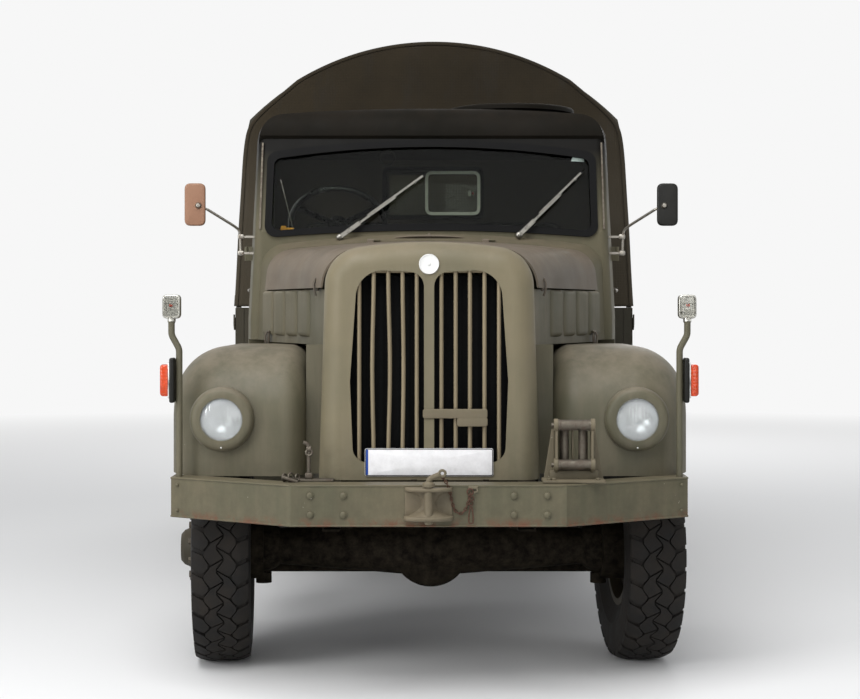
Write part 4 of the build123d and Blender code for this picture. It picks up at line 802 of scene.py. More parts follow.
bumper = {"low": 735.0, "top": 900.0, "boltsX": (337.0, 468.0), "boltsZ": (857.0, 782.0)}
jaw = {"half": 95.0, "lowLip": (762.0, 780.0), "highLip": (876.0, 893.0), "reach": 68.0,
       "pinD": -42.0, "pin": 18.0}
guide = {"x": 583.0, "half": 78.0, "d": 110.0, "rollers": (970.0, 1129.0), "roller": 23.0,
         "base": 912.0}


def ringPath(radius, count=20, squash=1.0):
    t = np.arange(count) * tau / count
    return np.stack([radius * np.cos(t), 0 * t, radius * squash * np.sin(t)], -1)


def torus(radius, tube, count=20, sides=8, squash=1.0):
    # a ring standing upright across the truck
    return sweep(ringPath(radius, count, squash), circle(tube, sides), closed=True, up=(0, 1, 0))


def addJaw():
    t = np.linspace(-1, 1, 19)
    front = np.stack([jaw["half"] * t, -20 - (jaw["reach"] - 20) * np.sqrt(1 - (0.96 * t) ** 2)],
                     -1)
    lip = np.concatenate([front, [(jaw["half"] + 4, 2), (-jaw["half"] - 4, 2)]])
    parts = [slab(lip, *jaw["lowLip"], 8, 4), slab(lip * (0.96, 0.94), *jaw["highLip"], 8, 4)]
    # the floor rises in a tent towards the pin, and a throat joins the two lips behind it
    u = np.linspace(0, 1, 8)[:, None]
    floorD = -2 - (jaw["reach"] - 8) * np.sqrt(1 - (0.96 * t[None]) ** 2) * (1 - u)
    floorZ = jaw["lowLip"][1] - 3 + 52 * (1 - np.abs(t[None])) ** 1.3 * u ** 0.7
    parts.append(grid(np.stack([0.93 * jaw["half"] * t[None] + 0 * u, floorD, floorZ], -1)))
    z = np.linspace(jaw["lowLip"][1], jaw["highLip"][0], 9)[:, None]
    waist = 30 + 58 * np.abs((z - 830) / 52) ** 2.2
    a = np.linspace(-math.pi / 2, math.pi / 2, 13)[None]
    parts.append(grid(np.stack([waist * np.sin(a), -22 * np.cos(a) - 1 + 0 * z, z + 0 * a], -1)))
    parts.append(moved(block(188, 8, 122, 3), d=-3, z=828))
    makePiece("towingJaw", parts, finish["castingOlive"], sharp=50)
    top = jaw["highLip"][1]
    pin = lathe([(748, 0), (749, 13), (756, jaw["pin"]), (top + 4, jaw["pin"]), (top + 5, 25),
                 (top + 16, 25), (top + 24, 18), (top + 27, 0)], 24)
    pin = turned(pin, y=-90)
    handle = rod([(0, 0, top + 16), (2, 0, top + 34), (22, -3, top + 44), (44, -4, 946)], 11, 14,
                 12)
    eye = moved(torus(12, 5.5, 18, 8), 54, -4, 950)
    makePiece("towingPin", [moved(p, d=jaw["pinD"]) for p in (pin, handle, eye)],
              finish["castingOlive"])


chain = {"link": 12.5, "wire": 2.3, "hook": (164.0, -8.0, 874.0)}
# the chain hangs from the pin's eye to a hook on the bumper: x, distance behind the bumper, z
chainPath = ((52.0, -40.0, 940.0), (76.0, -30.0, 902.0), (86.0, -16.0, 868.0), (92.0, -10.0, 832.0),
             (104.0, -8.0, 798.0), (124.0, -8.0, 786.0), (144.0, -8.0, 800.0), (158.0, -8.0, 836.0),
             (164.0, -10.0, 868.0))


def alongPath(points, spacing):
    # points at equal spacing along a smoothed path, with the direction at each
    path = roundCorners(points, 60, 8)
    step = np.linalg.norm(np.diff(path, axis=0), axis=1)
    length = np.concatenate([[0], np.cumsum(step)])
    at = np.arange(spacing / 2, length[-1], spacing)
    places = np.stack([np.interp(at, length, path[:, k]) for k in range(3)], -1)
    ahead = np.gradient(places, axis=0)
    return places, ahead / np.linalg.norm(ahead, axis=1, keepdims=True)


def addChain():
    link, faces = torus(4.6, chain["wire"], 12, 6, 1.75)
    places, ahead = alongPath(chainPath, chain["link"])
    parts = []
    for k, (place, way) in enumerate(zip(places, ahead)):
        side = np.cross(way, (0, 1, 0))
        side /= np.linalg.norm(side)
        flat = np.cross(side, way)
        if k % 2:
            side, flat = flat, -side
        parts.append((link[:, :1] * side + link[:, 1:2] * flat + link[:, 2:] * way + place, faces))
    hook = chain["hook"]
    parts.append(moved(torus(12, 3.2, 16, 6), hook[0], hook[1] - 2, hook[2]))
    parts.append(moved(torus(8, 2.6, 14, 6), hook[0] + 6, hook[1] - 4, hook[2] - 26))
    parts.append(moved(torus(7, 2.6, 14, 6), hook[0] + 3, hook[1] - 4, hook[2] - 46))
    # a sprung clip hangs below the rings
    x, d, z = hook[0] + 3, hook[1] - 4, hook[2] - 58
    parts.append(rod([(x - 3, d, z), (x - 9, d, z - 40), (x - 9, d, z - 66), (x + 9, d, z - 66),
                      (x + 9, d, z - 40), (x + 3, d, z)], 2.8, 8, 6, up=(0, 1, 0)))
    makePiece("pinChain", parts, finish["rust"])
    parts = [moved(block(40, 10, 12, 3), hook[0] + 12, -5, hook[2] + 16),
             rod([(hook[0] + 26, -8, hook[2] + 12), (hook[0] + 30, -14, hook[2] + 2),
                  (hook[0] + 14, -16, hook[2] - 2)], 3, 8, 8)]
    makePiece("chainHook", parts, finish["castingOlive"])


def addGuide():
    x, d, half = guide["x"], guide["d"], guide["half"]
    low, high = guide["rollers"]
    r = guide["roller"]
    parts, rollers = [], []
    roller = [(-half + 12, 0), (-half + 12, r), (-half + 20, r), (-half + 21, r - 1.5),
              (half - 21, r - 1.5), (half - 20, r), (half - 12, r), (half - 12, 0)]
    for z in (low, high):
        rollers.append(moved(lathe(roller, 28), x, d, z))
        pin = lathe([(-half - 14, 0), (-half - 14, 9), (half + 2, 9), (half + 2, 0)], 12)
        rollers.append(moved(pin, x, d, z))
    spool = [(low - 30, 0), (low - 30, 19), (high + 10, 19), (high + 10, 0)]
    for side in (-1, 1):
        rollers.append(moved(turned(lathe(spool, 24), y=-90), x + side * 38, d + 46, 0))
    # cheeks: eyes round the roller pins, joined by a narrow web
    for side in (-1, 1):
        web = np.array([(-16, low + 18), (-12, (low + high) / 2), (-16, high - 18), (16, high - 18),
                        (60, high - 30), (66, low - 40), (20, low - 40)])
        outline = roundCorners(web, 12, 4, closed=True)
        sheet = slab(outline, -5, 5, 2, 2)
        points = sheet[0][:, [2, 0, 1]] + (x + side * (half - 6), d, 0)
        parts.append((points, sheet[1]))
        for z in (low, high):
            collar = lathe([(-9, 0), (-9, 24), (-7, 26), (7, 26), (9, 24), (9, 0)], 24)
            parts.append(moved(collar, x + side * (half - 4), d, z))
        # tapered gusset outside each cheek
        gusset = np.array([(guide["base"], 0), (guide["base"], 42), (high - 20, 10),
                           (high - 20, 0)])
        shape = slab(gusset[:, ::-1], -4, 4, 1.5, 1)
        points = shape[0][:, [0, 2, 1]] * (side, 1, 1) + (x + side * half, d + 56, 0)
        parts.append((points, shape[1]))
    parts.append(moved(block(6, 44, high - low - 20, 2), x - 4, d + 52, (low + high) / 2))
    parts.append(moved(block(250, 140, 11, 3), x - 4, d + 6, guide["base"] - 5.5))
    parts.append(moved(block(2 * half + 40, 26, 34, 4), x, d + 30, guide["base"] + 16))
    nut = turned(hexNut(10, 8), x=-90)
    parts.append(repeated(nut, [(x + u, d - 34, guide["base"]) for u in (-104, -84, 92)]))
    frame = makePiece("cableGuideFrame", parts, finish["castingOlive"])
    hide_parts("bumper_fittings")
    makePiece("cableGuideRollers", rollers, finish["wornSteel"])


parkingLever = {"x": -484.0, "d": 150.0}
endRivets = {"x": 1040, "d": 306, "z": (765, 870)}


def addBumperDetails():
    bolts = [(s * x, 0.3, z) for s in (-1, 1) for x in bumper["boltsX"] for z in bumper["boltsZ"]]
    washers = facingForwards([(0, 0), (0, 17), (-2.5, 17), (-2.5, 0)], 24)
    head = joined([washers, moved(bolt(13.5, 10), d=-2)])
    # round-headed rivets hold the end plates on
    ends = [(s * endRivets["x"], endRivets["d"], z) for s in (-1, 1) for z in endRivets["z"]]
    parts = [repeated(head, bolts), repeated(bolt(7, 5), ends)]
    edge = [(-1068, 331, 0), (-544, 1, 0), (544, 1, 0), (1068, 331, 0)]
    for z in (bumper["top"] - 4, bumper["low"] + 4):
        parts.append(rod([(x, d, z) for x, d, _ in edge], 4.5, 30, 8))
    makePiece("bumperBolts", parts, finish["bumperOlive"])
    # hand lever on its bracket between the fender and the nose
    x, d = parkingLever["x"], parkingLever["d"]
    lever = [rod([(x, d, 905), (x, d, 1034), (x - 6, d - 3, 1052), (x - 22, d - 5, 1058)], 7.5, 12,
                 10),
             moved(torus(12, 5, 20, 8), x + 1, d - 4, 1016), moved(block(30, 30, 26, 5), x, d, 922),
             moved(lathe([(-9, 0), (-9, 13), (9, 13), (9, 0)], 16), x, d, 1030),
             moved(block(170, 62, 9, 3), x + 16, d + 10, 905),
             moved(turned(block(64, 34, 12, 3), y=18), x - 70, d - 40, 912)]
    lever.append(repeated(turned(bolt(7, 7), x=90), [(x + u, d - 6, 910) for u in (-48, 44, 76)]))
    for at, size in ((-96, 15), (-70, 19), (-44, 14)):
        lever.append(moved(turned(torus(size, 3.6, 18, 6), z=60), x + at, d - 30, 918))
    makePiece("parkingLever", lever, finish["wornSteel"])
    # a dark tray closes the space between the bumper and the radiator
    tray = [moved(block(760, 8, 130, 3), 0, 246, 858), moved(block(760, 220, 6, 2), 0, 350, 800)]
    tray.append(repeated(block(26, 22, 9, 3), [(u, 150, 902) for u in (-60, 66, 230)]))
    makePiece("noseTray", tray, finish["underside"])


print("truck: bumper")
addJaw()
addChain()
addGuide()
addBumperDetails()


# nose: bars, badge, blank castings, plate, louvres, latches

nose = {"d": 190.0, "barsX": (50.0, 108.0, 166.0, 225.0, 284.0), "bar": 8.5, "low": 945.0,
        "high": 1757.0, "badgeZ": 1776}
numberPlate = {"width": 520, "height": 113, "z": 973.5}
# width, height, x, how far proud, z
castings = ((262, 38, 105.5, 4.5, 1170), (124, 36, 175, 4.0, 1136))
# bars that are bent: their place and how far sideways at the middle
bentBars = {-166.0: 7.0, -225.0: -6.0, -108.0: 4.0}


def addNose():
    z = np.linspace(nose["low"], nose["high"], 13)
    t = (z - z[0]) / (z[-1] - z[0])
    outline = np.stack([nose["bar"] * np.cos(np.arange(12) * tau / 12),
                        10.5 * np.sin(np.arange(12) * tau / 12)], -1)
    parts = []
    for x in [s * x for x in nose["barsX"] for s in (-1, 1)]:
        bend = bentBars.get(x, 0.0) * np.sin(math.pi * t) ** 2
        path = np.stack([x + bend, 0 * z + nose["d"] + 19, z], -1)
        parts.append(sweep(path, outline, up=(0, -1, 0)))
    for level in (955, 1748):
        parts.append(rod([(-292, nose["d"] + 27, level), (292, nose["d"] + 27, level)], 7))
    bars = makePiece("grilleBars", parts, finish["grilleOlive"])
    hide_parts("grille_bars")
    rim = facingForwards([(0, 0), (-1.5, 30), (-2.5, 36), (-5, 38.5), (-2.5, 41), (3, 41), (3, 0)],
                         48)
    rivet = bolt(6, 4)
    badge = [moved(rim, d=nose["d"] - 3, z=nose["badgeZ"]),
             moved(rivet, d=nose["d"] - 4.5, z=nose["badgeZ"])]
    disc = makePiece("noseBadge", badge, finish["badgeWhite"])
    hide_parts("front_plates")
    # two blank castings on the bars
    cast = [moved(upright(wide, high, 8, 2.5), x, nose["d"] - proud, z)
            for wide, high, x, proud, z in castings]
    makePiece("blankCastings", cast, finish["castingOlive"])
    wide, high = numberPlate["width"], numberPlate["height"]
    flat = turned(slab(roundedRect(wide, high, 8, 4), -1.5, 1.5, 0.8, 2), x=90)
    line = np.insert(roundedRect(wide - 6, high - 6, 6, 4), 1, 0, axis=1)
    border = sweep(line, circle(1.8, 6), closed=True, up=(0, 1, 0))
    at = (0, nose["d"] - 6, numberPlate["z"])
    makePiece("numberPlate", [moved(flat, *at)], finish["plateWhite"])
    makePiece("numberPlateBorder", [moved(border, at[0], at[1] - 1.5, at[2])],
              finish["blackEnamel"])
    strip = moved(upright(9, 102, 1.2, 0.4), -251, at[1] - 1.8, at[2])
    makePiece("numberPlateStrip", [strip], finish["plateBlue"])


louvre = {"height": 206.0, "width": 122.0, "rise": 15.0, "z": 1576.0,
          "at": (745.0, 908.0, 1071.0, 1234.0)}
panelLine = {"startX": 429.0, "startD": 472.4, "endX": 780.0, "endD": 1299.7}   # side panel in plan


def onPanel(d):
    # how far out the side panel stands at d
    slope = (panelLine["endX"] - panelLine["startX"]) / (panelLine["endD"] - panelLine["startD"])
    return panelLine["startX"] + (d - panelLine["startD"]) * slope


def addLouvres():
    # each louvre is pressed up with a short step, then slopes outwards to its open rear edge
    u = np.array([0, 0.03, 0.08, 0.14, 0.3, 0.5, 0.7, 0.85, 0.95, 0.985, 1])[:, None]
    v = np.array([-1, -0.98, -0.95, -0.9, -0.8, -0.5, 0, 0.5, 0.8, 0.9, 0.95, 0.98, 1])[None, :]
    step = np.clip(u / 0.14, 0, 1) ** 0.7
    shape = (0.4 * step + 0.6 * u) * np.clip((1 - np.abs(v)) / 0.1, 0, 1) ** 0.6 * louvre["rise"]
    shape[-1] = -1.0
    wide = panelLine["endX"] - panelLine["startX"], panelLine["endD"] - panelLine["startD"]
    length = math.hypot(*wide)
    along, out = np.array([wide[0], wide[1], 0]) / length, np.array([wide[1], -wide[0], 0]) / length
    parts = []
    for d in louvre["at"]:
        start = np.array([onPanel(d), d, louvre["z"]])
        squeeze = 1 - 0.12 * np.abs(v) ** 8
        points = (start + ((u - 0.5) * squeeze * louvre["width"])[..., None] * along
                  + (shape + 0.4)[..., None] * out + (0 * u + v * louvre["height"] / 2)[..., None]
                  * (0, 0, 1))
        parts.append(grid(points))
    makePiece("bonnetSideLouvres", bothSides(parts), finish["bodyOlive"], sharp=50)
    latches = []
    for d, z in ((1210.0, 1455.0), (560.0, 1690.0)):
        x, y = onPanel(d) + 14, d - 8
        latches.append(moved(turned(block(10, 26, 46, 3), z=-23), x, y, z + 4))
        latches.append(rod([(x + 6, y - 4, z + 34), (x + 14, y - 6, z + 14),
                            (x + 12, y - 5, z - 22), (x + 4, y - 2, z - 40)], 4.5, 10, 8))
        latches.append(moved(turned(block(12, 30, 12, 3), z=-23), x, y, z + 34))
    makePiece("bonnetLatches", bothSides(latches), finish["wornSteel"])


print("truck: nose")
addNose()
addLouvres()


# cab: wipers, mirrors, wheel, seats, windows, handles

def edges(node):
    # a node's extents in mm: x, distance behind the bumper, z, each as (low, high)
    low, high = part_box(node)
    return ((low.x * 1000, high.x * 1000), ((low.y - frontY) * 1000, (high.y - frontY) * 1000),
            (low.z * 1000, high.z * 1000))


screen = {"footD": 1400.0, "footZ": 1962.0, "lean": 80.0 / 450.0}
# pivot and tip of each wiper: (x, z)
wipers = (((-434.0, 1934.0), (-37.0, 2224.0)), ((415.0, 1944.0), (717.0, 2239.0)))


def onScreen(x, z, proud=0.0):
    # a point on the windscreen's outer face, or proud of it towards the front
    return np.array([x, screen["footD"] + (z - screen["footZ"]) * screen["lean"] - proud, z])


def bar(start, end, outline):
    return sweep(np.array([start, end], float), outline, up=(0, -1, 0))


def addWipers():
    bright, dark = [], []
    for (x, z), (tipX, tipZ) in wipers:
        foot = np.array([x, screen["footD"] - 30.0, z])
        tip = onScreen(tipX, tipZ, 26)
        way = tip - foot
        across = np.cross(way / np.linalg.norm(way), (0, 1, 0))
        shift = across * 7
        flat = np.array([(-6, -2.5), (6, -2.5), (7.5, 0), (6, 2.5), (-6, 2.5), (-7.5, 0)])
        bright.append(moved(facingForwards([(0, 0), (0, 17), (-16, 15), (-20, 11), (-22, 0)], 20),
                            *foot))
        bright.append(bar(foot + (0, -16, 0), foot + way * 0.24 + (0, -16, 0), flat * 1.6))
        bright.append(bar(foot + way * 0.2 + (0, -15, 0), foot + way * 0.66 + (0, -10, 0),
                          flat * 0.8))
        bright.append(bar(foot + way * 0.34 + shift + (0, -4, 0), foot + way + shift + (0, -2, 0),
                          flat * 0.75))
        for t in (0.42, 0.66, 0.9):
            bright.append(moved(block(14, 12, 14, 3), *(foot + way * t + shift * 0.6 + (0, -4, 0))))
        dark.append(bar(foot + way * 0.3 + shift + (0, 8, 0),
                        foot + way * 1.03 + shift + (0, 10, 0), flat * 0.6))
    makePiece("wiperArms", bright, finish["wiperMetal"])
    makePiece("wiperBlades", dark, finish["trimRubber"])


def addCowl():
    # oval scuttle vent with its knob, then the rain gutters beside the screen
    oval = np.stack([166 * np.cos(np.arange(36) * tau / 36), 26 * np.sin(np.arange(36) * tau / 36)],
                    -1)
    lid = moved(turned(slab(oval * 0.9, -3, 5, 3, 3), x=-24), -10, 1352, 1930)
    path = np.stack([oval[:, 0], oval[:, 1] * 0.9, -oval[:, 1] * 0.42], -1)
    lip = moved(sweep(path, circle(4, 6), closed=True), -10, 1352, 1928)
    knob = moved(turned(bolt(12, 16), x=-50), -10, 1350, 1936)
    makePiece("scuttleVent", [lid, lip, knob], finish["bonnetOlive"])
    strips = []
    for side, x in ((-1, 815.0), (1, 820.0)):
        z = np.linspace(1975, 2392, 9)
        path = np.stack([0 * z + side * (x - 0.015 * (z - 1975)),
                         screen["footD"] + (z - 1962) * screen["lean"] - 7, z], -1)
        strips.append(sweep(path, np.array([(-4, -3), (4, -3), (4, 3), (-4, 3)]), up=(0, -1, 0)))
    makePiece("screenGutters", strips, finish["wornSteel"])
    wand = rod([(-660, 1436, 1972), (-690, 1446, 2090), (-722, 1458, 2214)], 2.6, 60, 8)
    clip = [moved(block(66, 14, 14, 5), -688, 1432, 1976),
            moved(block(26, 16, 20, 5), -706, 1432, 1982)]
    makePiece("aerialWand", [wand], finish["steel"])
    makePiece("aerialClip", clip, finish["yellowPlastic"])
    # a blank slip of paper on the inside of the glass
    corners = np.array([[onScreen(668, 2303, -9), onScreen(731, 2300, -9)],
                        [onScreen(682, 2335, -9), onScreen(731, 2330, -9)]])
    label = makePiece("blankLabel", [grid(corners)], finish["labelGrey"])
    label.modifiers.new("thickness", "SOLIDIFY").thickness = 0.0006


mirror = {"x": 1109.0, "d": 1300.0, "z": 2085.0, "width": 98.0, "height": 200.0}


def addMirrors():
    shape = roundedRect(mirror["width"], mirror["height"], 24, 6)
    shell = moved(turned(slab(shape, -14, 12, 10, 4), x=90), mirror["x"], mirror["d"], mirror["z"])
    face = moved(turned(slab(shape * 0.9, -2, 2, 1, 2), x=90), mirror["x"], mirror["d"] + 15,
                 mirror["z"])
    # the arm runs from the pillar's bracket to a ball joint on the mirror's back
    arm = rod([(912, 1448, 1850), (914, 1442, 1968), (940, 1420, 1990), (1052, 1312, 2062)], 6.5,
              34, 10)
    ball = [moved(facingForwards([(-16, 0), (-14, 9), (-4, 15), (6, 15), (10, 0)], 20), 1092,
                  mirror["d"] - 12, 2080),
            bar((1050, 1312, 2061), (1092, 1290, 2080), circle(6, 8))]
    clamps = [moved(block(30, 30, 22, 5), 910, 1446, z) for z in (1862, 1940)]
    lugs = [bar((838, 1462, z), (908, 1448, z), np.array([(-5, -13), (5, -13), (5, 13), (-5, 13)]))
            for z in (1862, 1940)]
    back = makePiece("mirrorBackLeft", [shell], finish["blackEnamel"])
    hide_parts("mirrors")
    makePiece("mirrorBackRight", [mirrored(shell)], finish["mirrorTan"])
    makePiece("mirrorGlasses", bothSides([face]), finish["silvering"])
    makePiece("mirrorArms", bothSides([arm] + ball + clamps + lugs), finish["steel"])


def pillow(width, depth, height, crown, soft=0.34, steps=(44, 26)):
    # a stuffed form: a superellipsoid, fuller in the middle of its top and pulled in along its
    # sides
    a = np.linspace(-math.pi, math.pi, steps[0], endpoint=False)[None, :]
    b = np.linspace(-math.pi / 2, math.pi / 2, steps[1])[:, None]
    power = lambda value: np.sign(value) * np.abs(value) ** soft
    x = power(np.cos(b)) * power(np.cos(a))
    y = power(np.cos(b)) * power(np.sin(a))
    z = power(np.sin(b)) + 0 * a
    middle = (1 - x ** 2) * (1 - y ** 2)
    pull = 1 - 0.05 * (1 - z ** 2) * (np.abs(x) ** 6 + np.abs(y) ** 6)
    top = np.where(z > 0, 1 + crown * middle, 1.0)
    points = np.stack([x * pull * width / 2, y * pull * depth / 2, z * top * height / 2], -1)
    # sewn channels run fore and aft across the top
    channel = np.exp(-((np.mod(points[..., 0] / (width / 4) + 0.5, 1) - 0.5) * width / 4 / 7) ** 2)
    points[..., 2] -= np.where(z > 0.3, 9 * channel * middle ** 0.5, 0)
    return grid(points, False, True)


def piping(width, depth, z):
    corners = [(width, depth, z), (-width, depth, z), (-width, -depth, z), (width, -depth, z)]
    path = roundCorners(corners, 60, 8, closed=True)
    return sweep(path, circle(4, 6), closed=True)


seat = {"x": 450, "width": 498, "depth": 500, "thick": 112, "at": (2275, 1562),
        "backHeight": 440, "backThick": 92, "backAt": (2553, 1850), "recline": 97}      # at: (d, z)


def addSeats():
    first = None
    for name, side in (("Left", 1), ("Right", -1)):
        x = side * seat["x"]
        cushion = moved(pillow(seat["width"], seat["depth"], seat["thick"], 0.22), x, *seat["at"])
        edge = moved(piping(241, 243, 34), x, *seat["at"])
        back = pillow(seat["width"], seat["backHeight"], seat["backThick"], 0.24)
        back = moved(turned(back, x=seat["recline"]), x, *seat["backAt"])
        trim = moved(turned(piping(241, 212, 26), x=seat["recline"]), x, *seat["backAt"])
        for label, form in (("Cushion", cushion), ("Back", back)):
            piece = makePiece(f"seat{label}{name}", [form], finish["seatCloth"],
                              sharp=60)
            if first is None:
                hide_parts("seat_cushions")
                first = piece
        makePiece(f"seatPiping{name}", [edge, trim], finish["trimRubber"])


def frameRing(low, high, d, thick, deep, radius=26):
    # an upright window frame swept round a rounded opening
    (x0, z0), (x1, z1) = low, high
    flat = roundedRect(x1 - x0, z1 - z0, radius, 6)
    path = np.stack([flat[:, 0] + (x0 + x1) / 2, 0 * flat[:, 0] + d, flat[:, 1] + (z0 + z1) / 2],
                    -1)
    half, depth = thick / 2, deep / 2
    outline = [(-half, -depth), (half, -depth), (half, depth), (-half, depth)]
    return sweep(path, np.array(outline), closed=True, up=(0, 1, 0))


# (x, z) corners
rearWindow = {"sliding": ((-34, 2108), (246, 2328)), "whole": ((-262, 2090), (262, 2349))}
# (x, radius)
dials = {"d": 1640, "z": 1800, "sizes": ((-560, 52), (-440, 52), (-340, 34), (-270, 34))}
pedals = {"x": (-590, -480, -370), "d": 1700, "z": 1330}
grabLoop = {"x": -215, "d": 1600, "z": 2330}


def addCabDetails():
    d = edges("cab_rear")[1][0] - 7
    frames = [frameRing(*rearWindow["sliding"], d, 16, 12)]
    makePiece("rearWindowRubber", [frameRing(*rearWindow["whole"], d + 3, 22, 8)],
              finish["trimRubber"])
    makePiece("latchButton", [moved(bolt(7, 8), 214, d - 14, 2216)], finish["redLens"])
    frames.append(moved(block(16, 12, 30, 3), 196, d - 8, 2216))
    makePiece("rearWindowFrames", frames, finish["aluminium"])
    # dials with blank faces, then levers and the wheel's hub
    faces = []
    for x, r in dials["sizes"]:
        face = facingForwards([(0, 0), (0, r), (-5, r + 4), (-9, r + 3), (-9, r - 3), (-5, r - 4),
                               (-4, 0)], 32)
        faces.append(moved((face[0] * (1, -1, 1), face[1]), x, dials["d"], dials["z"]))
    makePiece("dashDials", faces, finish["blackEnamel"])
    levers = [rod([(-60, 1830, 1190), (-70, 1850, 1450), (-96, 1880, 1700)], 9, 60, 10),
              rod([(-10, 1850, 1190), (-4, 1866, 1400), (6, 1880, 1560)], 8, 60, 10)]
    makePiece("gearLevers", levers, finish["steel"])
    ball = lathe([(-22, 0), (-20, 10), (-12, 19), (0, 22), (12, 19), (20, 10), (22, 0)], 20)
    knobs = [moved(turned(ball, y=-90), -98, 1882, 1716), moved(turned(ball, y=-90), 7, 1881, 1575)]
    hub = lathe([(-26, 0), (-26, 40), (0, 44), (16, 36), (20, 0)], 28)
    hub = moved(turned(turned(hub, y=-90), x=-42), -472, 1850, 2014)
    makePiece("leverKnobs", knobs + [hub], finish["gripPlastic"])
    d, z = pedals["d"], pedals["z"]
    pads = [moved(turned(block(70, 12, 90, 4), x=30), x, d, z) for x in pedals["x"]]
    arms = [rod([(x, d + 10, z), (x, d - 10, z + 150), (x, d - 100, z + 330)], 8, 40, 8)
            for x in pedals["x"]]
    makePiece("pedals", pads + arms, finish["blackEnamel"])
    # a grab loop hangs behind the screen
    loop = torus(34, 6, 24, 8)
    x, d, z = grabLoop["x"], grabLoop["d"], grabLoop["z"]
    makePiece("grabLoop", [moved(loop, x, d, z), moved(block(30, 20, 40, 4), x, d, z + 42)],
              finish["lining"])


# how far ahead of the door's rear edge, and heights
doorGrip = {"rear": 70, "handleZ": 1700, "pullZ": 1720}


def addDoorDetails():
    for name, side in (("left", 1), ("right", -1)):
        xs, ds, _ = edges(f"door_{name}")
        face = max(abs(xs[0]), abs(xs[1]))
        d, z = ds[1] - doorGrip["rear"], doorGrip["handleZ"]
        handle = [rod([(face - 2, d, z), (face + 30, d, z), (face + 34, d - 100, z - 6),
                       (face + 22, d - 120, z - 10)], 8, 22, 10),
                  moved(lathe([(0, 0), (0, 24), (8, 22), (10, 0)], 20), face - 2, d, z),
                  moved(lathe([(0, 0), (0, 11), (4, 10), (5, 0)], 16), face - 1, d, z - 60)]
        makePiece(f"doorHandle{name.title()}", onSide(handle, side),
                  finish["steel"], f"door_{name}")
        z = doorGrip["pullZ"]
        grips = [rod([(face - 46, d + 10, z), (face - 70, d, z), (face - 70, d - 230, z),
                      (face - 46, d - 240, z)], 9, 20, 8)]
        makePiece(f"doorPull{name.title()}", onSide(grips, side),
                  finish["gripPlastic"], f"door_{name}")


# grip: half its length, how far ahead
hatch = {"x": 405.0, "d": 2130.0, "rim": 318, "grip": (70, 180)}


def addHatchHandle():
    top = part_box("hatch_lid")[1].z * 1000
    x, d = hatch["x"], hatch["d"]
    half, ahead = hatch["grip"]
    grip = rod([(x - half, d - ahead, top - 2), (x - half, d - ahead, top + 10),
                (x + half, d - ahead, top + 10), (x + half, d - ahead, top - 2)], 5, 8, 8)
    rim = sweep(np.insert(circle(hatch["rim"], 64), 2, top - 20, axis=1) + (x, d, 0), circle(6, 8),
                closed=True)
    makePiece("hatchGrip", [grip, rim], finish["chassisOlive"], "hatch_lid")


print("truck: cab")
addWipers()
addCowl()
addMirrors()
addSeats()
addCabDetails()
addDoorDetails()
addHatchHandle()


# load bed, tank, tool box and steps

def addBoards():
    for end in ("front", "rear"):
        for side, way in (("left", 1), ("right", -1)):
            node = f"side_board_{end}_{side}"
            xs, ds, zs = edges(node)
            face = max(abs(xs[0]), abs(xs[1]))
            places = np.linspace(ds[0] + 90, ds[1] - 90, 4)
            parts = []
            for d in places:
                parts.append(moved(block(4, 62, zs[1] - zs[0] - 40, 1.5), face + 1, d,
                                   (zs[0] + zs[1]) / 2 + 18))
                heads = [(0, 0, z) for z in np.linspace(zs[0] + 90, zs[1] - 50, 4)]
                parts.append(moved(repeated(turned(bolt(8, 3), z=90), heads), face + 2, d, 0))
            for d in (ds[0] + 24, ds[1] - 24):
                hook = [(face + 2, d, zs[1] - 130), (face + 5, d, zs[1] - 100),
                        (face + 5, d, zs[1] - 40)]
                parts.append(rod(hook, 5, 10, 8))
                parts.append(moved(block(6, 34, 60, 2), face + 1, d, zs[1] - 88))
            makePiece(f"boardIrons{end.title()}{side.title()}", onSide(parts, way),
                      finish["chassisOlive"], node)
    xs, ds, zs = edges("tailgate")
    parts = []
    for x in np.linspace(xs[0] + 110, xs[1] - 110, 5):
        parts.append(moved(block(62, 5, zs[1] - zs[0] - 8, 1.5), x, ds[1] + 1, (zs[0] + zs[1]) / 2))
        heads = turned(bolt(8, 4), z=180)
        parts.append(repeated(heads,
                              [(x, ds[1] + 3, z) for z in np.linspace(zs[0] + 50, zs[1] - 50, 4)]))
    for x in (xs[0] + 40, xs[1] - 40):
        parts.append(moved(block(40, 8, 70, 2), x, ds[1] + 1, zs[1] - 80))
    makePiece("tailgateIrons", parts, finish["chassisOlive"], "tailgate")


tank = {"x": 730, "z": 805, "width": 460.0, "height": 410.0, "straps": (3420.0, 4040.0),
        "cap": (905, 3620, 985)}
toolBox = {"face": -963, "latches": (3460, 3900), "z": 900}
cabSteps = {"z": (640.0, 930.0), "x": 875, "from": 1880, "to": 2300}


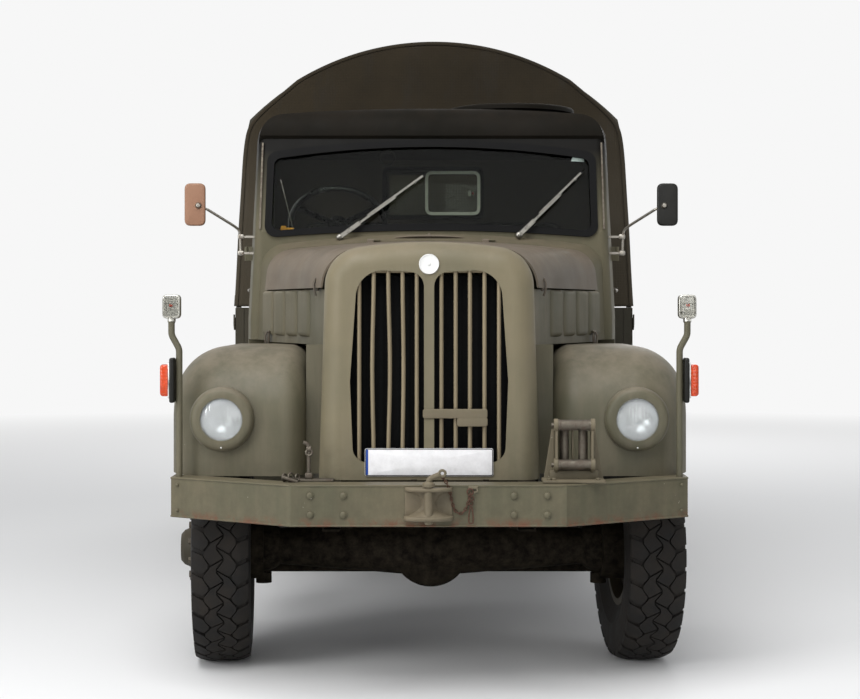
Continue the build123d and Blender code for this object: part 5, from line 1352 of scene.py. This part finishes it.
def addTank():
    straps = []
    for d in tank["straps"]:
        flat = roundedRect(tank["width"] + 8, tank["height"] + 8, 62, 8)
        path = np.stack([flat[:, 0] + tank["x"], 0 * flat[:, 0] + d, flat[:, 1] + tank["z"]], -1)
        straps.append(sweep(path, np.array([(-2, -22), (2, -22), (2, 22), (-2, 22)]), closed=True,
                            up=(0, 1, 0)))
    neck = lathe([(0, 0), (0, 44), (34, 44), (36, 50), (58, 50), (64, 44), (66, 0)], 32)
    x, d, z = tank["cap"]
    cap = [moved(turned(neck, y=-60), x, d, z),
           moved(turned(block(10, 10, 30, 2), y=30), x, d, z + 45)]
    makePiece("tankStraps", straps + cap, finish["wornSteel"])
    x, z = toolBox["face"], toolBox["z"]
    latch = [moved(block(8, 60, 40, 3), x, d, z) for d in toolBox["latches"]]
    latch += [rod([(x - 3, d - 16, z - 20), (x - 11, d, z - 28), (x - 3, d + 16, z - 20)], 4, 8, 8)
              for d in toolBox["latches"]]
    lid = [moved(block(6, 800, 8, 2), x + 1, sum(toolBox["latches"]) / 2, z + 30)]
    makePiece("toolBoxLatches", latch + lid, finish["wornSteel"])
    treads = []
    for z in cabSteps["z"]:
        for d in np.linspace(cabSteps["from"], cabSteps["to"], 8):
            treads.append(moved(block(232, 10, 6, 2), cabSteps["x"], d, z + 2))
    makePiece("stepTreads", bothSides(treads), finish["wornSteel"])


rearPlate = {"x": -420, "d": 7222, "z": 1010, "width": 340, "height": 180}
reflector = {"x": 640, "d": 7240, "z": 1015}


def addRearDetails():
    disc = moved(facingForwards([(0, 0), (0, 40), (8, 38), (9, 0)], 32), reflector["x"],
                 reflector["d"], reflector["z"])
    disc = [moved(disc, x=-2 * reflector["x"]), disc]
    makePiece("rearReflectors", disc, finish["redLens"])
    x, d, z = rearPlate["x"], rearPlate["d"], rearPlate["z"]
    outline = roundedRect(rearPlate["width"], rearPlate["height"], 10, 4)
    plate = moved(turned(slab(outline, -1.5, 1.5, 0.8, 2), x=90), x, d, z)
    makePiece("rearPlate", [plate], finish["plateWhite"])
    holder = [moved(block(360, 8, 200, 3), x, d - 10, z)]
    holder += [moved(block(40, 60, 14, 3), x, 7200, 1105)
               for x in (-540, -300, 640, -640, 760, -760)]
    holder += [moved(block(30, 8, 130, 2), x, 7226, 1060) for x in (640, -640)]
    makePiece("rearPlateHolder", holder, finish["chassisOlive"])


print("truck: load bed")
addBoards()
addTank()
addRearDetails()


# canvas: every sheet is pulled over the bows

cover = {"half": 1150.0, "hem": 1612.0, "shoulderX": 1070.0, "shoulderZ": 2697.0, "top": 3139.0,
         "sideX": 1096.0, "sideZ": 2580.0, "start": 3142.0, "end": 7300.0, "roll": 22.0,
         "sagTop": 26.0, "sagSide": 12.0, "thick": 2.5, "curtain": 2600.0}
seamsAt = (3790.0, 4715.0, 5745.0, 6680.0)
curtain = {"half": 995.0, "turns": 2.6, "core": 24.0, "grows": 32.0, "d": 7234.0, "z": 2582.0,
           "straps": (-640, 0, 640), "strapRadius": 54.0}
bowsAt = np.array([3172.0, 4200.0, 5230.0, 6260.0, 7274.0])


def coverOutline():
    # hem, side, shoulder, then one arc over the top; even steps along its length
    rise = cover["top"] - cover["shoulderZ"]
    radius = (cover["shoulderX"] ** 2 + rise ** 2) / (2 * rise)
    reach = math.asin(cover["shoulderX"] / radius)
    a = np.linspace(-reach, reach, 61)
    arc = np.stack([radius * np.sin(a), cover["top"] - radius * (1 - np.cos(a))], -1)
    side = roundCorners([(-cover["half"], cover["hem"]), (-cover["sideX"], cover["sideZ"]),
                         (-cover["shoulderX"] + 22, cover["shoulderZ"] + 4), arc[9]], 190, 16)
    line = np.concatenate([side[:-1], arc[9:-9], side[::-1][1:] * (-1, 1)])
    length = np.concatenate([[0], np.cumsum(np.linalg.norm(np.diff(line, axis=0), axis=1))])
    return line, length - length[-1] / 2


outlineLine, outlineAt = coverOutline()
coverHalf = outlineAt[-1]
ripples = [(rng.uniform(0.6, 1.0), rng.uniform(-1, 1), rng.uniform(0, tau), size) for size in
         (900, 620, 430, 330, 240, 190)]


def outlinePoint(s):
    return np.stack([np.interp(s, outlineAt, outlineLine[:, 0]),
                     np.interp(s, outlineAt, outlineLine[:, 1])], -1)


def creases(u, v):
    # soft ripples: a few plane waves, each a little finer and lower than the one before
    total = 0
    for along, across, phase, size in ripples:
        total = total + size / 900 * np.sin((u * along + v * across) * tau / size + phase)
    return total


def coverPoint(s, d, lift=0.0):
    # a point of the cover at s along its outline and d along the truck: the outline moved outwards
    # by minus a parabola of slack between bows, plus creases, a waved hem and a rolled edge; lifted
    # by lift
    s, d = np.broadcast_arrays(np.asarray(s, float), np.asarray(d, float))
    flat = outlinePoint(s)
    way = outlinePoint(s + 4) - outlinePoint(s - 4)
    way /= np.linalg.norm(way, axis=-1, keepdims=True)
    outward = np.stack([-way[..., 1], way[..., 0]], -1)
    bay = np.clip(np.searchsorted(bowsAt, d) - 1, 0, len(bowsAt) - 2)
    t = np.clip((d - bowsAt[bay]) / (bowsAt[bay + 1] - bowsAt[bay]), 0, 1)
    slack = 4 * t * (1 - t)
    over = np.clip(1 - np.abs(s) / 1500, 0, 1)
    depth = cover["sagSide"] + (cover["sagTop"] - cover["sagSide"]) * over ** 0.5
    low = np.clip((np.abs(s) - coverHalf + 420) / 420, 0, 1)
    hem = 13 * low ** 2 * np.sin(d * tau / 514 + 0.8) + 5 * low * np.sin(d * tau / 190)
    edge = np.clip(np.minimum(d - cover["start"], cover["end"] - d) / 160, 0, 1)
    bulge = 18 * np.exp(-((np.abs(s) - coverHalf + 420) / 200) ** 2 - ((d - 3320) / 130) ** 2)
    inner = -depth * slack + 3.2 * creases(s, d) * (0.25 + 0.75 * slack) + hem
    move = inner * edge + bulge * edge ** 0.4
    # the front and rear edges roll over towards the walls
    r = cover["roll"]
    near = np.clip(1 - np.minimum(d - cover["start"], cover["end"] - d) / r, 0, 1)
    move = move - r * (1 - np.sqrt(np.clip(1 - near ** 2, 0, 1))) + lift
    x = flat[..., 0] + outward[..., 0] * move
    z = np.minimum(flat[..., 1] + outward[..., 1] * move, cover["top"] + 8)
    return np.stack([x, d, z], -1)


def clothPiece(name, sheets, material, thick=None, sharp=70):
    # sheets are (points, uv in mm) grids; a Solidify gives the cloth its thickness
    parts, marks = [], []
    for points, u, v in sheets:
        parts.append(grid(points))
        u, v = np.broadcast_arrays(u, v)
        marks.append(np.stack([u, v], -1).reshape(-1, 2) / 1000)
    piece = makePiece(name, parts, material, sharp=sharp, uv=np.concatenate(marks),
                      weld=False)
    solid = piece.modifiers.new("thickness", "SOLIDIFY")
    solid.thickness = (thick or cover["thick"]) / 1000
    solid.offset = -1
    return piece


def strip(s0, s1, d0, d1, rows, columns, lift=1.6):
    s = np.linspace(s0, s1, columns)[None, :]
    d = np.linspace(d0, d1, rows)[:, None]
    return coverPoint(s, d, lift), s, d


def addCover():
    ends = np.array([0, 1.5, 5, 10, 16, 22])
    d = np.concatenate([cover["start"] + ends,
                        np.linspace(cover["start"] + 40, cover["end"] - 40, 158),
                        cover["end"] - ends[::-1]])[:, None]
    s = np.linspace(-coverHalf, coverHalf, 216)[None, :]
    main = clothPiece("canvasCover", [(coverPoint(s, d), s, d)], finish["canvas"])
    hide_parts("canvas_cover")
    # seams cross the cover, and its hems are folded double
    bands = []
    for at in seamsAt:
        bands.append(strip(-coverHalf, coverHalf, at, at + 34, 3, 200))
    for at in (cover["start"] + 24, cover["end"] - 70):
        bands.append(strip(-coverHalf, coverHalf, at, at + 46, 4, 200, 1.4))
    hems = [strip(side * (coverHalf - 62), side * coverHalf, cover["start"] + 24, cover["end"] - 24,
                  200, 4, 1.5)
            for side in (-1, 1)]
    seams = clothPiece("canvasSeams", bands, finish["canvasEdge"], 1.6)
    folds = clothPiece("canvasHems", hems, finish["canvasEdge"], 1.6)
    rings = []
    for side in (-1, 1):
        for at in np.arange(cover["start"] + 120, cover["end"] - 60, 257):
            place = coverPoint(side * (coverHalf - 30), at, 2.5)
            rings.append(moved(turned(torus(11, 3, 16, 6), z=90), *place))
    eyelets = makePiece("hemEyelets", rings, finish["wornSteel"])


def wallSheet(d, low, way, columns=90, rows=80):
    # a wall inside the cover's rolled edge; each row runs straight across at one height
    r = cover["roll"]
    s = np.linspace(-coverHalf, -2, 400)
    line = outlinePoint(s)
    z = np.linspace(max(low, cover["hem"]), cover["top"] - r, rows)
    half = np.interp(z, line[:, 1] - r * 0.7 * (line[:, 1] > cover["sideZ"]), -line[:, 0] - r * 0.9)
    half = np.where(z > cover["top"] - r - 1, 3.0, half)
    t = np.linspace(-1, 1, columns)[None, :]
    x = t * half[:, None]
    z = np.broadcast_to(z[:, None], x.shape)
    calm = (1 - np.abs(t) ** 6) * np.clip((cover["top"] - z) / 260, 0, 1)
    upper = np.clip((z - 2300) / 500, 0, 1)
    folds = 5 * creases(x, z * 0.5) * calm + 5 * np.sin(x / 46 + 0.003 * z) * calm * upper
    depth = d + way * np.clip(folds + 4, -3, 14) * 0.6
    area = np.trapz(2 * half, z[:, 0]) / 1e6
    return (np.stack([x, depth, z], -1), x, z), area


def addWalls():
    sheet, area = wallSheet(cover["start"] + 2, cover["hem"], 1)
    front = clothPiece("canvasFrontWall", [sheet], finish["canvas"])
    sheet, area = wallSheet(cover["end"] - 2, cover["curtain"], -1)
    rear = clothPiece("canvasRearGable", [sheet], finish["canvas"])
    # the curtain is rolled up under the gable: a spiral that is slack between its three straps
    c = curtain
    a = np.linspace(0, c["turns"] * tau, 110)[None, :]
    x = np.linspace(-c["half"], c["half"], 90)[:, None]
    squeeze = 1 - 0.14 * sum(np.exp(-((x - at) / 60) ** 2) for at in c["straps"])
    radius = (c["core"] + c["grows"] * a / (c["turns"] * tau)) * squeeze
    radius = radius + 2.2 * np.sin(x / 70 + a) + 1.5 * np.sin(x / 31 - 2 * a)
    points = np.stack([x + 0 * a, c["d"] + radius * np.sin(a), c["z"] - radius * np.cos(a)], -1)
    roll = clothPiece("rolledCurtain", [(points, x, a * 45)], finish["canvas"])
    belts = []
    around = circle(c["strapRadius"], 28) + (c["d"], c["z"])
    for place in c["straps"]:
        path = np.insert(around, 0, place, axis=1)
        belts.append(sweep(path, np.array([(-1.5, -18), (1.5, -18), (1.5, 18), (-1.5, 18)]),
                           closed=True, up=(1, 0, 0)))
        belts.append(moved(block(44, 6, 30, 2), place, c["d"] + 56, c["z"] + 6))
    ties = makePiece("curtainStraps", belts, finish["canvasEdge"], uv=None)


print("truck: canvas")
addCover()
addWalls()


# camera, light and floor

cameraView = {"x": 0.0645, "y": -10.415, "z": 1.590, "focalPixels": 1725.0, "frame": (860, 699),
              # level camera; the point it looks straight at, in pixels
              "vanishing": (445.0, 310.0)}
white = (0.93, 0.93, 0.93, 1)                   # the backdrop, and what the floor fades into
bpy.context.scene.view_settings.view_transform = "Standard"


def addCamera():
    wide, high = cameraView["frame"]
    data = bpy.data.cameras.new("camera")
    data.sensor_fit = "HORIZONTAL"
    data.sensor_width = 36.0
    data.lens = 36.0 * cameraView["focalPixels"] / wide
    data.shift_x = (wide / 2 - cameraView["vanishing"][0]) / wide
    data.shift_y = (cameraView["vanishing"][1] - high / 2) / wide
    data.clip_end = 300
    camera = bpy.data.objects.new("camera", data)
    camera.location = (cameraView["x"], cameraView["y"], cameraView["z"])
    camera.rotation_euler = (math.radians(90), 0, 0)
    bpy.context.scene.collection.objects.link(camera)
    bpy.context.scene.camera = camera


# name, place, what it looks at, size in metres, watts
areaLights = (
    ("overheadSoft", (-1.5, -7.5, 8.5), (0, -1.5, 1.2), 7.0, 760.0),
    ("keySoft", (-8.0, -9.5, 4.2), (0, -2.5, 1.2), 5.0, 520.0),
    ("frontSoft", (2.5, -14.0, 3.0), (0, -3.0, 1.2), 5.0, 150.0),
    ("rightSoft", (9.0, -2.0, 4.5), (0, 0, 1.3), 6.0, 90.0),
    ("rearSoft", (2.0, 11.0, 6.5), (0, 2.0, 1.2), 7.0, 380.0),
)


def addLights():
    for name, place, target, size, watts in areaLights:
        data = bpy.data.lights.new(name, "AREA")
        data.shape = "DISK"
        data.size = size
        data.energy = watts
        lamp = bpy.data.objects.new(name, data)
        lamp.location = place
        aim = np.array(target) - np.array(place)
        lamp.rotation_euler = Vector(aim.tolist()).to_track_quat("-Z", "Y").to_euler()
        bpy.context.scene.collection.objects.link(lamp)
    world = bpy.data.worlds.new("daylight")
    world.use_nodes = True
    bpy.context.scene.world = world
    tree = world.node_tree
    tree.nodes.clear()
    path = addNode(tree, "ShaderNodeLightPath")
    seen = path.outputs["Is Camera Ray"]
    for ray in ("Is Transmission Ray", "Is Glossy Ray"):
        seen = addNode(tree, "ShaderNodeMath", {0: seen, 1: path.outputs[ray]},
                       operation="MAXIMUM").outputs[0]
    sky = addNode(tree, "ShaderNodeBackground", {"Color": (0.95, 0.97, 1.0, 1), "Strength": 0.36})
    backdrop = addNode(tree, "ShaderNodeBackground", {"Color": white, "Strength": 1.0})
    mixed = addNode(tree, "ShaderNodeMixShader",
                    {0: seen, 1: sky.outputs[0], 2: backdrop.outputs[0]})
    addNode(tree, "ShaderNodeOutputWorld", {"Surface": mixed.outputs[0]})


def addFloor():
    # a plain pale floor, 120 m across, that fades into the backdrop's white with distance
    material, tree, surface = newMaterial("paleFloor", Roughness=0.9)
    surface.inputs["Base Color"].default_value = (0.82, 0.82, 0.82, 1)
    where = objectPlace(tree)
    away = addNode(tree, "ShaderNodeVectorMath", {0: where}, operation="LENGTH").outputs["Value"]
    seen = addNode(tree, "ShaderNodeLightPath").outputs["Is Camera Ray"]
    faded = times(tree, ramp(tree, away, 5.0, 17.0), seen)
    glow = addNode(tree, "ShaderNodeEmission", {"Color": white, "Strength": 1.0})
    mixed = addNode(tree, "ShaderNodeMixShader",
                    {0: faded, 1: surface.outputs[0], 2: glow.outputs[0]})
    tree.links.new(mixed.outputs[0], tree.nodes["Material Output"].inputs["Surface"])
    points = np.array([[(-60, -60, 0), (60, -60, 0)], [(-60, 60, 0), (60, 60, 0)]], float)
    mesh = bpy.data.meshes.new("floor")
    mesh.from_pydata(points.reshape(-1, 3).tolist(), [], [(0, 1, 3, 2)])
    mesh.materials.append(material)
    floor = bpy.data.objects.new("floor", mesh)
    bpy.context.scene.collection.objects.link(floor)


print("truck: camera, lights and floor")
addCamera()
addLights()
addFloor()
